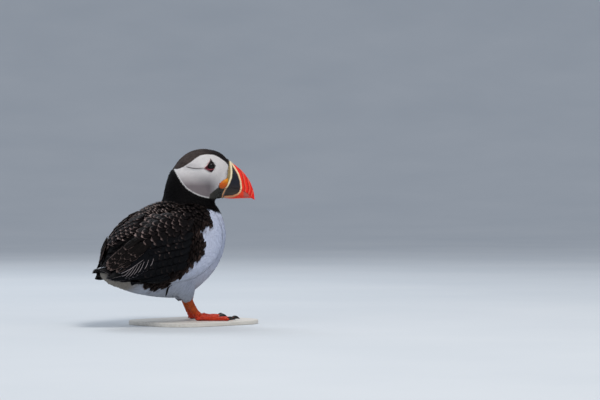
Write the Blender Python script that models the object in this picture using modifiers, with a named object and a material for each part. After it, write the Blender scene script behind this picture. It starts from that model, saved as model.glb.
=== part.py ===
"""Atlantic puffin, a still life-size model.

The bird's trunk points along +X with its left side at +Y, and the head is turned to its right.
Sizes stand in millimetres in the tables below and become metres through MM.
"""

import math

import bmesh
import bpy
from mathutils import Matrix, Vector

MM = 0.001

# ---------------------------------------------------------------- driving sizes
GAP = 0.3 * MM  # clearance between neighbouring solids
HEAD_TURN = math.radians(-40)  # the head looks to the bird's right
NECK_X = 21 * MM  # where the head's own upright axis stands on the trunk
FORM_VOXEL = 1.7 * MM  # grain of the fused body form
FORM_SMOOTH = 12  # rounds of smoothing over the fused form
FORM_FACES = 1800  # triangles left in the fused body form
LEG_SPREAD = 17 * MM  # from the middle plane to each leg
FOOT_AT = {-1: 10, 1: 30}  # toe root of the right (-1) and left (1) foot, mm along
THIGH_AHEAD = {-1: 0, 1: 20}  # how far forward each feathered thigh hangs, mm
TOE_OUT = {-1: math.radians(20), 1: math.radians(2)}  # each foot is turned outwards
BASE_HIGH = 4 * MM  # the plain base under the feet
BASE_CENTRE = (18, 0)  # mm
BASE_HALF = (61, 50)  # mm
BASE_CORNER = 34 * MM
BASE_ROUND = 0.6 * MM
AHEAD = 13.75 * MM  # brings the middle of the whole over the origin
EYE_RADIUS = 3.9 * MM
EYE_AT = (14.5, 15.9, 153.8)  # along, sideways and up in the head's own frame, mm
BILL_STEPS = 2

# Stations of a loft: along, up, tilt in degrees, half depth, half width.
TRUNK = (
    (-100.5, 48.2, 10, 4.6, 5),
    (-94, 48.4, 14, 10.2, 9),
    (-82, 51, 22, 19.4, 15),
    (-66, 55.8, 28, 33.3, 24),
    (-42, 61.2, 28, 43.8, 33),
    (-19, 68.5, 28, 50.3, 36),
    (9, 82.5, 38, 45, 37.0),
    (23, 97, 62, 31, 32),
    (17, 111, 92, 25.5, 27),
    (15, 121, 92, 18, 18),
)
# The neck's stations stand on the head's axis and turn with the head by the last number.
NECK = (
    (-7, 92, 92, 22, 22, 0),
    (-7.6, 108, 92, 26.4, 26.8, 0.15),
    (-10.5, 115, 91, 27.8, 28.0, 0.35),
    (-8.0, 121, 90, 26.3, 26.4, 0.5),
    (-5.8, 134, 84, 25.0, 24.2, 0.85),
    (-3.5, 146, 78, 22.0, 19.5, 1),
    (-0.5, 154, 78, 15, 14, 1),
)
# The head's stations are measured in the head's own upright plane, from its axis.
HEAD = (
    (-22.5, 152, -12, 3, 3),
    (-18, 151.5, -12, 11.5, 10.5),
    (-10.5, 150.5, -12, 19, 17),
    (-1, 148.5, -12, 24.0, 20.6),
    (9, 146.6, -12, 25.5, 21),
    (18, 144.5, -12, 24.9, 18.2),
    (25, 142.5, -12, 22.4, 13.2),
    (31, 140.1, -12, 19.4, 9.0),
)
THIGH = (
    (-15, 47, -60, 19, 12),
    (-8, 35, -58, 14, 10.5),
    (-4.8, 27, -60, 9.6, 8.2),
    (-3.4, 20, -62, 5.4, 5.2),
)
# Wing stations: along, top edge (sideways, up), bottom edge (sideways, up), half thickness.
WING = (
    (25, 23, 104, 31, 74, 9.5),
    (20, 22, 110, 34, 64, 12.5),
    (6, 21, 115, 37, 52, 14.5),
    (-14, 22, 115, 38, 42, 15.0),
    (-36, 21.5, 108.0, 36, 38.5, 14.0),
    (-57, 20, 97, 31, 39.5, 11.5),
    (-71, 18.5, 85, 25, 41, 8.5),
    (-80.5, 17, 73.5, 19.5, 42.5, 5.2),
    (-86.5, 15.5, 62.5, 17, 43, 3.4),
    (-95, 13, 53, 14.5, 43.4, 2.2),
    (-103, 12, 46.4, 12.5, 44.0, 1.1),
)
WING_TIP_FORWARD = {-1: 0, 1: 5}  # how far each wing's tip is drawn forward, mm
WING_SQUARE = 2.3  # power of the wing's superellipse section
# Tail stations: along, up, half thickness, half width.
TAIL = (
    (-76, 54.0, 4.5, 11),
    (-88, 53.6, 3.2, 13.5),
    (-98, 53.0, 2.2, 14.5),
    (-104.5, 52.4, 1.4, 13.5),
    (-106.5, 52.2, 0.8, 9.5),
)
# The thin cuts run from nape to throat and from back to chest in the head's own plane, and over the rump.
NAPE, THROAT = (-30, 0, 138), (22, 0, 117)
BACK, CHEST = (-32, 0, 124), (25, 0, 106)
RUMP_CUT, RUMP_LEAN = (-70, 0, 60), (1, 0, 0.35)
# Bill lines in the head's own plane: (along, up) from root to tip.
CULMEN = ((28.5, 160.8), (33.6, 159.0), (39.2, 155.1), (44.6, 150.8), (49.4, 145.6),
          (53.4, 139.9), (56.4, 133.5), (58.2, 127.0), (58.9, 120.4))
GAPE = ((25.5, 130.4), (30.0, 131.4), (35.0, 131.9), (40.0, 131.4), (45.0, 130.0),
        (49.6, 127.8), (53.2, 125.2), (56.0, 122.6), (58.2, 120.2))
GONYS = ((23.5, 123.4), (28.0, 122.0), (33.0, 121.4), (38.0, 121.3), (43.0, 121.5),
         (47.5, 121.7), (51.0, 121.8), (53.6, 121.8), (55.2, 122.0))
BILL_HALF_WIDTHS = (8.6, 8.3, 7.4, 6.5, 5.5, 4.5, 3.5, 2.4, 1.0)
# Toes: spread in degrees, length to the claw from the toe root, claw length, mm.
TOES = ((-30, 30, 7.0), (-3, 36, 7.5), (24, 29, 7.0))
FOOT_VOXEL = 0.45 * MM
FOOT_FACES = 600
TOE_RADIUS = 2.5 * MM
TOE_TIP_RADIUS = 1.7 * MM
WEB_THICK = 1.1 * MM
WEB_REACH = 0.86  # how far along the toes the web's edge runs
# Tarsus stations from the toe root, as for the body's lofts.
TARSUS = (
    (-11.0, 22.0, -64, 3.6, 2.9),
    (-8.2, 16.0, -64, 3.3, 2.5),
    (-4.8, 10.2, -74, 3.4, 2.7),
    (-2.2, 6.3, -90, 3.9, 3.3),
)

BLACK_DOWN = ("black feathers", (0.022, 0.020, 0.021), 0.75)
WHITE_DOWN = ("white feathers", (0.72, 0.72, 0.74), 0.85)
FACE_DOWN = ("face feathers", (0.60, 0.58, 0.58), 0.85)
HORN_RED = ("bill horn", (0.75, 0.09, 0.03), 0.38)
LEG_SKIN = ("leg skin", (0.80, 0.20, 0.04), 0.5)
FOOT_SKIN = ("foot skin", (0.80, 0.12, 0.03), 0.5)
BASE_WOOD = ("painted wood", (0.60, 0.58, 0.55), 0.6)
EYE_DARK = ("eye", (0.02, 0.012, 0.010), 0.08)


def mm(*xyz):
    """A point given in millimetres, as a vector in metres."""
    return Vector(xyz) * MM


# ---------------------------------------------------------------- scene helpers
def collection_named(name):
    made = bpy.data.collections.new(name)
    bpy.context.scene.collection.children.link(made)
    return made


def material_of(name, colour, roughness):
    made = bpy.data.materials.get(name)
    if made is None:
        made = bpy.data.materials.new(name)
        made.use_nodes = True
        shader = made.node_tree.nodes["Principled BSDF"]
        shader.inputs["Base Color"].default_value = (*colour, 1)
        shader.inputs["Roughness"].default_value = roughness
        shader.inputs["Metallic"].default_value = 0
    return made


def object_of(name, bm, where):
    """A mesh object holding the given geometry, faces turned outwards."""
    bmesh.ops.recalc_face_normals(bm, faces=bm.faces)
    if bm.calc_volume(signed=True) < 0:
        bmesh.ops.reverse_faces(bm, faces=bm.faces)
    mesh = bpy.data.meshes.new(name)
    bm.to_mesh(mesh)
    bm.free()
    obj = bpy.data.objects.new(name, mesh)
    where.objects.link(obj)
    return obj


def helper_of(name, bm, helpers):
    obj = object_of(name, bm, helpers)
    obj.hide_render = True
    obj.display_type = "WIRE"
    return obj


def evaluated(obj):
    """The object's mesh after its modifiers, as a new bmesh."""
    graph = bpy.context.evaluated_depsgraph_get()
    mesh = bpy.data.meshes.new_from_object(obj.evaluated_get(graph))
    bm = bmesh.new()
    bm.from_mesh(mesh)
    bpy.data.meshes.remove(mesh)
    return bm


def finish(obj, look):
    for face in obj.data.polygons:
        face.use_smooth = True
    obj.data.materials.clear()
    obj.data.materials.append(material_of(*look))


def cut(obj, cutter):
    """Takes the cutter away from the object."""
    step = obj.modifiers.new("cut", "BOOLEAN")
    step.operation = "DIFFERENCE"
    step.solver = "EXACT"
    step.object = cutter


def thin_to(obj, count):
    """Thins a closed form of four-sided faces to about this many triangles."""
    full = evaluated(obj)
    faces = 2 * len(full.faces)
    full.free()
    thin = obj.modifiers.new("thin", "DECIMATE")
    thin.ratio = count / faces


# ---------------------------------------------------------------- lofts
def between(rows, steps):
    """The rows of a table with more rows between each pair, on a Catmull-Rom curve."""
    made = []
    last = len(rows) - 1
    for i in range(last):
        a, b, c, d = (rows[min(max(i + k, 0), last)] for k in (-1, 0, 1, 2))
        for step in range(steps):
            t = step / steps
            made.append(
                tuple(
                    0.5 * (2 * q + (r - p) * t + (2 * p - 5 * q + 4 * r - s) * t * t
                           + (3 * q - p - 3 * r + s) * t ** 3)
                    for p, q, r, s in zip(a, b, c, d)
                )
            )
    made.append(rows[-1])
    return made


def loft(rings):
    """Closed rings of points bridged one after another, with both ends closed."""
    bm = bmesh.new()
    add_loft(bm, rings)
    return bm


def add_loft(bm, rings):
    loops = [[bm.verts.new(p) for p in ring] for ring in rings]
    sides = len(loops[0])
    for low, high in zip(loops, loops[1:]):
        for i in range(sides):
            j = (i + 1) % sides
            bm.faces.new((low[i], low[j], high[j], high[i]))
    bm.faces.new(loops[0])
    bm.faces.new(reversed(loops[-1]))


def circle(sides):
    return [(math.cos(2 * math.pi * i / sides), math.sin(2 * math.pi * i / sides)) for i in range(sides)]


def upright_rings(table, sides=28, steps=3, place=None):
    """Rings whose stations stand across a line in an upright plane."""
    place = Matrix.Identity(4) if place is None else place
    rings = []
    for along, up, tilt, depth, width in between(table, steps):
        tilt = math.radians(tilt)
        centre = mm(along, 0, up)
        over = mm(-math.sin(tilt), 0, math.cos(tilt)) * depth
        side = mm(0, 1, 0) * width
        rings.append([place @ (centre + over * c + side * s) for c, s in circle(sides)])
    return rings


def head_place(turned=1.0):
    """From the head's own upright plane to the model."""
    return Matrix.Translation((NECK_X, 0, 0)) @ Matrix.Rotation(HEAD_TURN * turned, 4, "Z")


def neck_rings():
    """The neck turns with the head as it rises."""
    rings = []
    for row in between(NECK, 3):
        rings += upright_rings((row[:5],), place=head_place(row[5]))
    return rings


# ---------------------------------------------------------------- body form
def fused_form(helpers):
    """Trunk, neck and head fused into one smooth closed form."""
    bm = bmesh.new()
    add_loft(bm, upright_rings(TRUNK))
    add_loft(bm, neck_rings())
    add_loft(bm, upright_rings(HEAD, place=head_place()))
    form = helper_of("body_form", bm, helpers)
    fuse = form.modifiers.new("fuse", "REMESH")
    fuse.mode = "VOXEL"
    fuse.voxel_size = FORM_VOXEL
    soften = form.modifiers.new("soften", "SMOOTH")
    soften.iterations = FORM_SMOOTH
    soften.factor = 0.5
    thin_to(form, FORM_FACES)
    return helper_of("body_form_thin", evaluated(form), helpers)


def grown(form, helpers):
    """The body form swollen by the clearance, to cut what lies against it."""
    swollen = helper_of("body_form_grown", evaluated(form), helpers)
    swell = swollen.modifiers.new("swell", "DISPLACE")
    swell.strength = GAP
    swell.mid_level = 0
    return swollen


def split(bm, point, normal):
    """Keeps what lies before the plane, and closes the cut."""
    normal = normal.normalized()
    geometry = bm.verts[:] + bm.edges[:] + bm.faces[:]
    bmesh.ops.bisect_plane(bm, geom=geometry, plane_co=point + normal * GAP / 2, plane_no=normal,
                           clear_inner=True, dist=0.02 * MM)
    rim = [edge for edge in bm.edges if edge.is_boundary]
    bmesh.ops.triangle_fill(bm, edges=rim, use_beauty=True, normal=-normal)


def cut_planes():
    """Points and directions of the thin cuts between head, neck, trunk and rump."""
    place = head_place()
    side = place.to_3x3() @ Vector((0, 1, 0))
    nape, throat, back, chest = (place @ mm(*point) for point in (NAPE, THROAT, BACK, CHEST))
    return {
        "head": (throat, (nape - throat).cross(side)),
        "neck": (chest, (back - chest).cross(side)),
        "rump": (mm(*RUMP_CUT), mm(*RUMP_LEAN)),
    }


def body_parts(form, bird):
    planes = cut_planes()
    head_at, head_up = planes["head"]
    neck_at, neck_up = planes["neck"]
    rump_at, ahead = planes["rump"]
    if head_up.z < 0:
        head_up = -head_up
    if neck_up.z < 0:
        neck_up = -neck_up
    cuts = {
        "head": ((head_at, head_up),),
        "neck": ((head_at, -head_up), (neck_at, neck_up)),
        "trunk": ((neck_at, -neck_up), (rump_at, ahead)),
        "rump": ((rump_at, -ahead),),
    }
    looks = {"head": FACE_DOWN, "neck": BLACK_DOWN, "trunk": WHITE_DOWN, "rump": BLACK_DOWN}
    made = {}
    for name, walls in cuts.items():
        bm = evaluated(form)
        for point, normal in walls:
            split(bm, point, normal)
        made[name] = object_of(name, bm, bird)
        finish(made[name], looks[name])
    return made


# ---------------------------------------------------------------- wings, tail, thighs
def wing_rings(side, grow=0.0):
    rings = []
    power = 2 / WING_SQUARE
    for along, top_y, top_z, low_y, low_z, half in between(WING, 2):
        along += WING_TIP_FORWARD[side] * max(0, (along + 60) / (WING[-1][0] + 60)) ** 3
        top = mm(along, side * top_y, top_z)
        low = mm(along, side * low_y, low_z)
        centre = (top + low) / 2
        tall = top - low
        across = Vector((0, -tall.z, tall.y)).normalized() * (half * MM + grow)
        tall = tall.normalized() * (tall.length / 2 + grow)
        ring = []
        for c, s in circle(16):
            c = math.copysign(abs(c) ** power, c)
            s = math.copysign(abs(s) ** power, s)
            ring.append(centre + tall * c + across * s)
        rings.append(ring)
    return rings


def tail_rings(grow=0.0):
    rings = []
    for along, up, half, width in between(TAIL, 2):
        rings.append([mm(along, 0, up) + Vector((0, s * (width * MM + grow), c * (half * MM + grow)))
                      for c, s in circle(20)])
    return rings


def wing(side, swollen, tail_room, bird):
    name = "wing_left" if side > 0 else "wing_right"
    obj = object_of(name, loft(wing_rings(side)), bird)
    cut(obj, swollen)
    cut(obj, tail_room)
    finish(obj, BLACK_DOWN)
    return obj


def tail(swollen, bird):
    obj = object_of("tail", loft(tail_rings()), bird)
    cut(obj, swollen)
    finish(obj, BLACK_DOWN)


def thigh(side, swollen, wing_room, bird):
    name = "thigh_left" if side > 0 else "thigh_right"
    place = Matrix.Translation((THIGH_AHEAD[side] * MM, side * LEG_SPREAD, 0))
    obj = object_of(name, loft(upright_rings(THIGH, sides=18, steps=2, place=place)), bird)
    cut(obj, swollen)
    cut(obj, wing_room)
    finish(obj, WHITE_DOWN)
    return obj


# ---------------------------------------------------------------- bill and eyes
def bill_rings(top_line, low_line, widths, keel, grow=0.0, sides=14):
    """Rings between two lines; keel tells how narrow the far edge is, top (1) or bottom (-1)."""
    place = head_place()
    rings = []
    rows = [(*a, *b, w) for a, b, w in zip(top_line, low_line, widths)]
    for top_x, top_z, low_x, low_z, width in between(rows, BILL_STEPS):
        top = mm(top_x, 0, top_z)
        low = mm(low_x, 0, low_z)
        centre = (top + low) / 2
        tall = top - low
        tall = tall.normalized() * (tall.length / 2 + grow)
        ring = []
        for c, s in circle(sides):
            taper = 1 - 0.55 * (1 + keel * c) / 2
            ring.append(place @ (centre + tall * math.copysign(abs(c) ** 0.8, c)
                                 + Vector((0, s * (width * MM * taper + grow), 0))))
        rings.append(ring)
    return rings


def shifted(line, up):
    return tuple((along, height + up) for along, height in line)


def bill(head, bird, helpers):
    half_gap = 0.5 * GAP / MM
    parts = {
        "bill_upper": (CULMEN, shifted(GAPE, half_gap), 1),
        "bill_lower": (shifted(GAPE, -half_gap), GONYS, -1),
    }
    for name, (top, low, keel) in parts.items():
        widths = BILL_HALF_WIDTHS
        obj = object_of(name, loft(bill_rings(top, low, widths, keel)), bird)
        finish(obj, HORN_RED)
        cut(head, helper_of(name + "_room", loft(bill_rings(top, low, widths, keel, grow=GAP)), helpers))


def eyes(head, bird, helpers):
    for side, name in ((-1, "eye_right"), (1, "eye_left")):
        along, out, up = EYE_AT
        at = head_place() @ Matrix.Translation(mm(along, side * out, up))
        ball = bmesh.new()
        bmesh.ops.create_uvsphere(ball, u_segments=16, v_segments=8, radius=EYE_RADIUS, matrix=at)
        finish(object_of(name, ball, bird), EYE_DARK)
        room = bmesh.new()
        bmesh.ops.create_uvsphere(room, u_segments=16, v_segments=8, radius=EYE_RADIUS + GAP, matrix=at)
        cut(head, helper_of(name + "_room", room, helpers))


# ---------------------------------------------------------------- legs and feet
def foot_place(side):
    turn = Matrix.Rotation(side * TOE_OUT[side], 4, "Z")
    return Matrix.Translation((FOOT_AT[side] * MM, side * LEG_SPREAD, 0)) @ turn


def toe_rings(spread, length, claw, place):
    """One toe from its root to the claw's tip, laid along the floor."""
    turn = place @ Matrix.Rotation(math.radians(spread), 4, "Z")
    base, tip = TOE_RADIUS, TOE_TIP_RADIUS
    stations = (
        (-3.0, 2.6, base * 0.8),
        (0, 2.8, base * 1.25),
        (length * 0.30, 2.0, base * 0.92),
        (length * 0.42, 2.2, base * 1.05),
        (length * 0.62, 1.6, tip * 1.05),
        (length * 0.76, 1.7, tip * 1.12),
        (length, 1.3, tip * 0.95),
        (length + 0.15, 1.5, tip * 0.80),
        (length + claw * 0.55, 1.9, tip * 0.52),
        (length + claw, 0.5, tip * 0.12),
    )
    rings = []
    for along, up, radius in stations:
        rings.append([turn @ (mm(along, 0, up) + Vector((0, s * radius, c * radius))) for c, s in circle(8)])
    return rings


def web(place):
    """The skin between the toes, a thin sheet with hollowed front edges."""
    bm = bmesh.new()
    outline = [mm(-3, 3, 0), mm(-3, -3, 0)]
    ends = [Matrix.Rotation(math.radians(spread), 4, "Z") @ mm(length * WEB_REACH, 0, 0)
            for spread, length, _ in TOES]
    for first, second in zip(ends, ends[1:]):
        for step in range(6):
            t = step / 6
            sag = 1 - 0.16 * math.sin(math.pi * t)
            outline.append(first.lerp(second, t) * sag)
    outline.append(ends[-1])
    lower = [bm.verts.new(place @ (p + mm(0, 0, 0.5))) for p in outline]
    face = bm.faces.new(lower)
    raised = bmesh.ops.extrude_face_region(bm, geom=[face])["geom"]
    lifted = [item for item in raised if isinstance(item, bmesh.types.BMVert)]
    bmesh.ops.translate(bm, verts=lifted, vec=(0, 0, WEB_THICK))
    return bm


def foot(side, bird, helpers):
    """Toes and web fused, then cut flat where they rest."""
    name = "foot_left" if side > 0 else "foot_right"
    place = foot_place(side)
    bm = web(place)
    for spread, length, claw in TOES:
        add_loft(bm, toe_rings(spread, length, claw, place))
    form = helper_of(name + "_form", bm, helpers)
    fuse = form.modifiers.new("fuse", "REMESH")
    fuse.mode = "VOXEL"
    fuse.voxel_size = FOOT_VOXEL
    soften = form.modifiers.new("soften", "SMOOTH")
    soften.iterations = 2
    thin_to(form, FOOT_FACES)
    bm = evaluated(form)
    geometry = bm.verts[:] + bm.edges[:] + bm.faces[:]
    bmesh.ops.bisect_plane(bm, geom=geometry, plane_co=(0, 0, 0), plane_no=(0, 0, 1),
                           clear_inner=True, dist=0.01 * MM)
    rim = [edge for edge in bm.edges if edge.is_boundary]
    bmesh.ops.triangle_fill(bm, edges=rim, use_beauty=True, normal=(0, 0, -1))
    finish(object_of(name, bm, bird), FOOT_SKIN)


def leg(side, thigh_made, bird, helpers):
    name = "leg_left" if side > 0 else "leg_right"
    rings = upright_rings(TARSUS, sides=12, steps=2, place=foot_place(side))
    finish(object_of(name, loft(rings), bird), LEG_SKIN)
    wide = tuple((*row[:3], row[3] + GAP / MM, row[4] + GAP / MM) for row in TARSUS)
    rings = upright_rings(wide, sides=12, steps=2, place=foot_place(side))
    rings = [[p + mm(0, 0, 1) for p in rings[0]]] + rings
    cut(thigh_made, helper_of(name + "_room", loft(rings), helpers))


def base(bird):
    """The plain display base the feet rest on."""
    bm = bmesh.new()
    along, across = BASE_CENTRE
    size = Matrix.Diagonal((*(2 * half * MM for half in BASE_HALF), BASE_HIGH, 1))
    at = Matrix.Translation(mm(along, across, 0) - Vector((0, 0, BASE_HIGH / 2)))
    bmesh.ops.create_cube(bm, size=1, matrix=at @ size)
    corners = [edge for edge in bm.edges if abs(edge.verts[0].co.z - edge.verts[1].co.z) > BASE_HIGH / 2]
    bmesh.ops.bevel(bm, geom=corners, offset=BASE_CORNER, segments=9, affect="EDGES", profile=0.5,
                    material=-1)
    rims = [edge for edge in bm.edges if abs(edge.verts[0].co.z - edge.verts[1].co.z) < BASE_HIGH / 2]
    bmesh.ops.bevel(bm, geom=rims, offset=BASE_ROUND, segments=1, affect="EDGES", profile=0.5,
                    material=-1)
    finish(object_of("stand_base", bm, bird), BASE_WOOD)


def main():
    for obj in list(bpy.data.objects):
        bpy.data.objects.remove(obj)
    helpers = collection_named("cutters")
    bird = collection_named("puffin")
    form = fused_form(helpers)
    swollen = grown(form, helpers)
    parts = body_parts(form, bird)
    bill(parts["head"], bird, helpers)
    eyes(parts["head"], bird, helpers)
    tail_room = helper_of("tail_room", loft(tail_rings(grow=GAP)), helpers)
    tail(swollen, bird)
    for side in (-1, 1):
        wing(side, swollen, tail_room, bird)
        wing_room = helper_of("wing_room", loft(wing_rings(side, grow=GAP)), helpers)
        thigh_made = thigh(side, swollen, wing_room, bird)
        foot(side, bird, helpers)
        leg(side, thigh_made, bird, helpers)
    base(bird)
    for obj in bpy.data.objects:
        obj.location.x += AHEAD
        obj.location.z += BASE_HIGH + (0 if obj.name == "stand_base" else GAP)


main()
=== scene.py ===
"""Looks of the Atlantic puffin: skin, feathers, bill, eyes, legs and studio."""

import heapq
import math
from collections import namedtuple

import bmesh
import bpy
import numpy as np
from mathutils import Matrix, Vector
from mathutils.bvhtree import BVHTree
from mathutils.kdtree import KDTree


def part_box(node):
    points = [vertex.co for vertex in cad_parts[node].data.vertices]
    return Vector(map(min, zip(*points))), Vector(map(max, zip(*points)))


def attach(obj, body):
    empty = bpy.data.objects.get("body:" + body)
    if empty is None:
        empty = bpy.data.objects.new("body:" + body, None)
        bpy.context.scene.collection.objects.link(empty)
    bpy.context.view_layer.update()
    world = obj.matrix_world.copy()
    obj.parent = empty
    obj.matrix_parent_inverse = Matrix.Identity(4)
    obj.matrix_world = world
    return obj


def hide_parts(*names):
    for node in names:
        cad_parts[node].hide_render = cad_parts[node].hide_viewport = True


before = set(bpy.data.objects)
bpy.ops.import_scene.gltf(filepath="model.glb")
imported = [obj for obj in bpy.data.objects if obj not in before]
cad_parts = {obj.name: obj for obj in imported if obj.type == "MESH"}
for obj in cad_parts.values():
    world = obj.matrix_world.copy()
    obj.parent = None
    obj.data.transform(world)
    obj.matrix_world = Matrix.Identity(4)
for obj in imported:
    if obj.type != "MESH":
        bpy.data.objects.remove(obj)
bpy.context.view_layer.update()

MM = 0.001
RNG = np.random.default_rng(1758)

# ---------------------------------------------------------------- places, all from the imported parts


def box_middle(node):
    low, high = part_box(node)
    return (Vector(low) + Vector(high)) / 2


EYE_AHEAD = 14.5 * MM  # the eyes' place along the head's own axis
EYE_HIGH = 153.8 * MM  # and above the soles
NECK_AHEAD = 21 * MM  # the head's axis ahead of the body's zero

EYE_RIGHT = box_middle("eye_right")
EYE_LEFT = box_middle("eye_left")
EYE_RADIUS = (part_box("eye_left")[1][2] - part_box("eye_left")[0][2]) / 2
HEAD_SIDE = (EYE_LEFT - EYE_RIGHT).normalized()
HEAD_AHEAD = HEAD_SIDE.cross(Vector((0, 0, 1))).normalized()
HEAD_ZERO = (EYE_LEFT + EYE_RIGHT) / 2 - HEAD_AHEAD * EYE_AHEAD - Vector((0, 0, EYE_HIGH))
SOLE = HEAD_ZERO.z
BODY_ZERO = Vector((HEAD_ZERO.x - NECK_AHEAD, 0, SOLE))
HEAD = Matrix.Translation(HEAD_ZERO) @ Matrix((
    (HEAD_AHEAD.x, HEAD_SIDE.x, 0, 0), (HEAD_AHEAD.y, HEAD_SIDE.y, 0, 0), (0, 0, 1, 0), (0, 0, 0, 1)))


def head_point(ahead, side, up):
    """A point in the head's own millimetres: ahead, to its left and above the soles."""
    return HEAD @ (Vector((ahead, side, up)) * MM)


def head_mm(points):
    """Points of the model in the head's own millimetres."""
    rest = points - np.array(HEAD_ZERO)
    ahead = rest @ np.array(HEAD_AHEAD)
    side = rest @ np.array(HEAD_SIDE)
    return np.stack((ahead, side, rest[:, 2]), axis=1) / MM


def body_mm(points):
    """Points of the model in the body's own millimetres."""
    return (points - np.array(BODY_ZERO)) / MM


def body_point(x, y, z):
    return BODY_ZERO + Vector((x, y, z)) * MM


SIDE_NAMES = {-1: "right", 1: "left"}


# ---------------------------------------------------------------- small sums


def ramp(values, start, end):
    """How far each value has come from start to end, held between 0 and 1."""
    return np.clip((values - start) / (end - start), 0, 1)


def part_way(a, b, t):
    return a + (b - a) * t


def unit(vectors):
    return vectors / np.maximum(np.linalg.norm(vectors, axis=-1, keepdims=True), 1e-12)


def along_surface(ways, normals):
    """The ways laid down on the surface that the normals stand on."""
    return unit(ways - normals * (ways * normals).sum(axis=1, keepdims=True))


def kd_tree(places):
    found = KDTree(len(places))
    for number, place in enumerate(places):
        found.insert(Vector(place), number)
    found.balance()
    return found


def between(rows, t):
    """A smooth curve through the rows at t from 0 to 1 (Catmull-Rom)."""
    rows = np.array(rows, float)
    spot = min(max(t, 0.0), 1.0) * (len(rows) - 1)
    i = min(int(spot), len(rows) - 2)
    f = spot - i
    a, b = rows[max(i - 1, 0)], rows[i]
    c, d = rows[i + 1], rows[min(i + 2, len(rows) - 1)]
    bend, sway = 2 * a - 5 * b + 4 * c - d, 3 * b - a - 3 * c + d
    return 0.5 * (2 * b + (c - a) * f + bend * f * f + sway * f ** 3)


# ---------------------------------------------------------------- colours and materials


def linear(colour):
    """An sRGB hex value as linear numbers."""
    parts = [int(colour[i:i + 2], 16) / 255 for i in (1, 3, 5)]
    return np.array([c / 12.92 if c <= 0.04045 else ((c + 0.055) / 1.055) ** 2.4 for c in parts])


def rgba(colour):
    return (*linear(colour), 1)


def blend(a, b, t):
    """From colour a to colour b, linear or hex, as t goes from 0 to 1 at each point."""
    a, b = (linear(colour) if isinstance(colour, str) else colour for colour in (a, b))
    return part_way(a, b, np.clip(t, 0, 1)[:, None])


def material(name):
    """A new material, empty."""
    made = bpy.data.materials.new(name)
    made.use_nodes = True
    for node in list(made.node_tree.nodes):
        made.node_tree.nodes.remove(node)
    return made, made.node_tree


def add(tree, kind, settings=None, stops=(), **inputs):
    """Adds a node: settings are its own properties, inputs its sockets' values or the sockets they take.

    A key such as in_1 is the input numbered 1, and in other keys _ stands for a space. Stops are the
    places and colours of a ramp.
    """
    node = tree.nodes.new(kind)
    for key, value in (settings or {}).items():
        setattr(node, key, value)
    for _ in stops[2:]:
        node.color_ramp.elements.new(0.5)
    for element, (place, colour) in zip(node.color_ramp.elements if stops else (), stops):
        element.position = place
        element.color = colour
    for key, value in inputs.items():
        socket = node.inputs[int(key[3:])] if key.startswith("in_") else node.inputs[key.replace("_", " ")]
        if isinstance(value, bpy.types.NodeSocket):
            tree.links.new(value, socket)
        else:
            socket.default_value = value
    return node


def surface(tree, colour, relief, strength, deep_mm, **shader):
    """What every finish ends in: its relief as bump, its shader and the output."""
    bump = add(tree, "ShaderNodeBump", Strength=strength, Distance=deep_mm * MM, Height=relief).outputs[0]
    finish = add(tree, "ShaderNodeBsdfPrincipled", Base_Color=colour, Normal=bump, **shader).outputs[0]
    add(tree, "ShaderNodeOutputMaterial", in_0=finish)


def tinted(tree, colour, grain, darkest, palest):
    """A colour made darker and paler by the grain."""
    shade = add(tree, "ShaderNodeMapRange", in_0=grain, in_1=0.3, in_2=0.7,
                in_3=darkest, in_4=palest).outputs[0]
    return add(tree, "ShaderNodeVectorMath", {"operation": "SCALE"}, in_0=colour, Scale=shade).outputs[0]


BARB_TURN = 110.0  # radians of barb ripple along a vane, far coarser than eight barbs to the millimetre
BARB_SLANT = -0.45  # how far the barbs lean towards the tip, out to the vane's edge
CLOUD_GRAIN = 4.545  # mm, slow noise that makes one feather paler than the next
WEAR_GRAIN = 1.5385  # mm, flecks of a worn edge
DOWN_GRAIN = 1.1111  # mm, tufts of down


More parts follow.
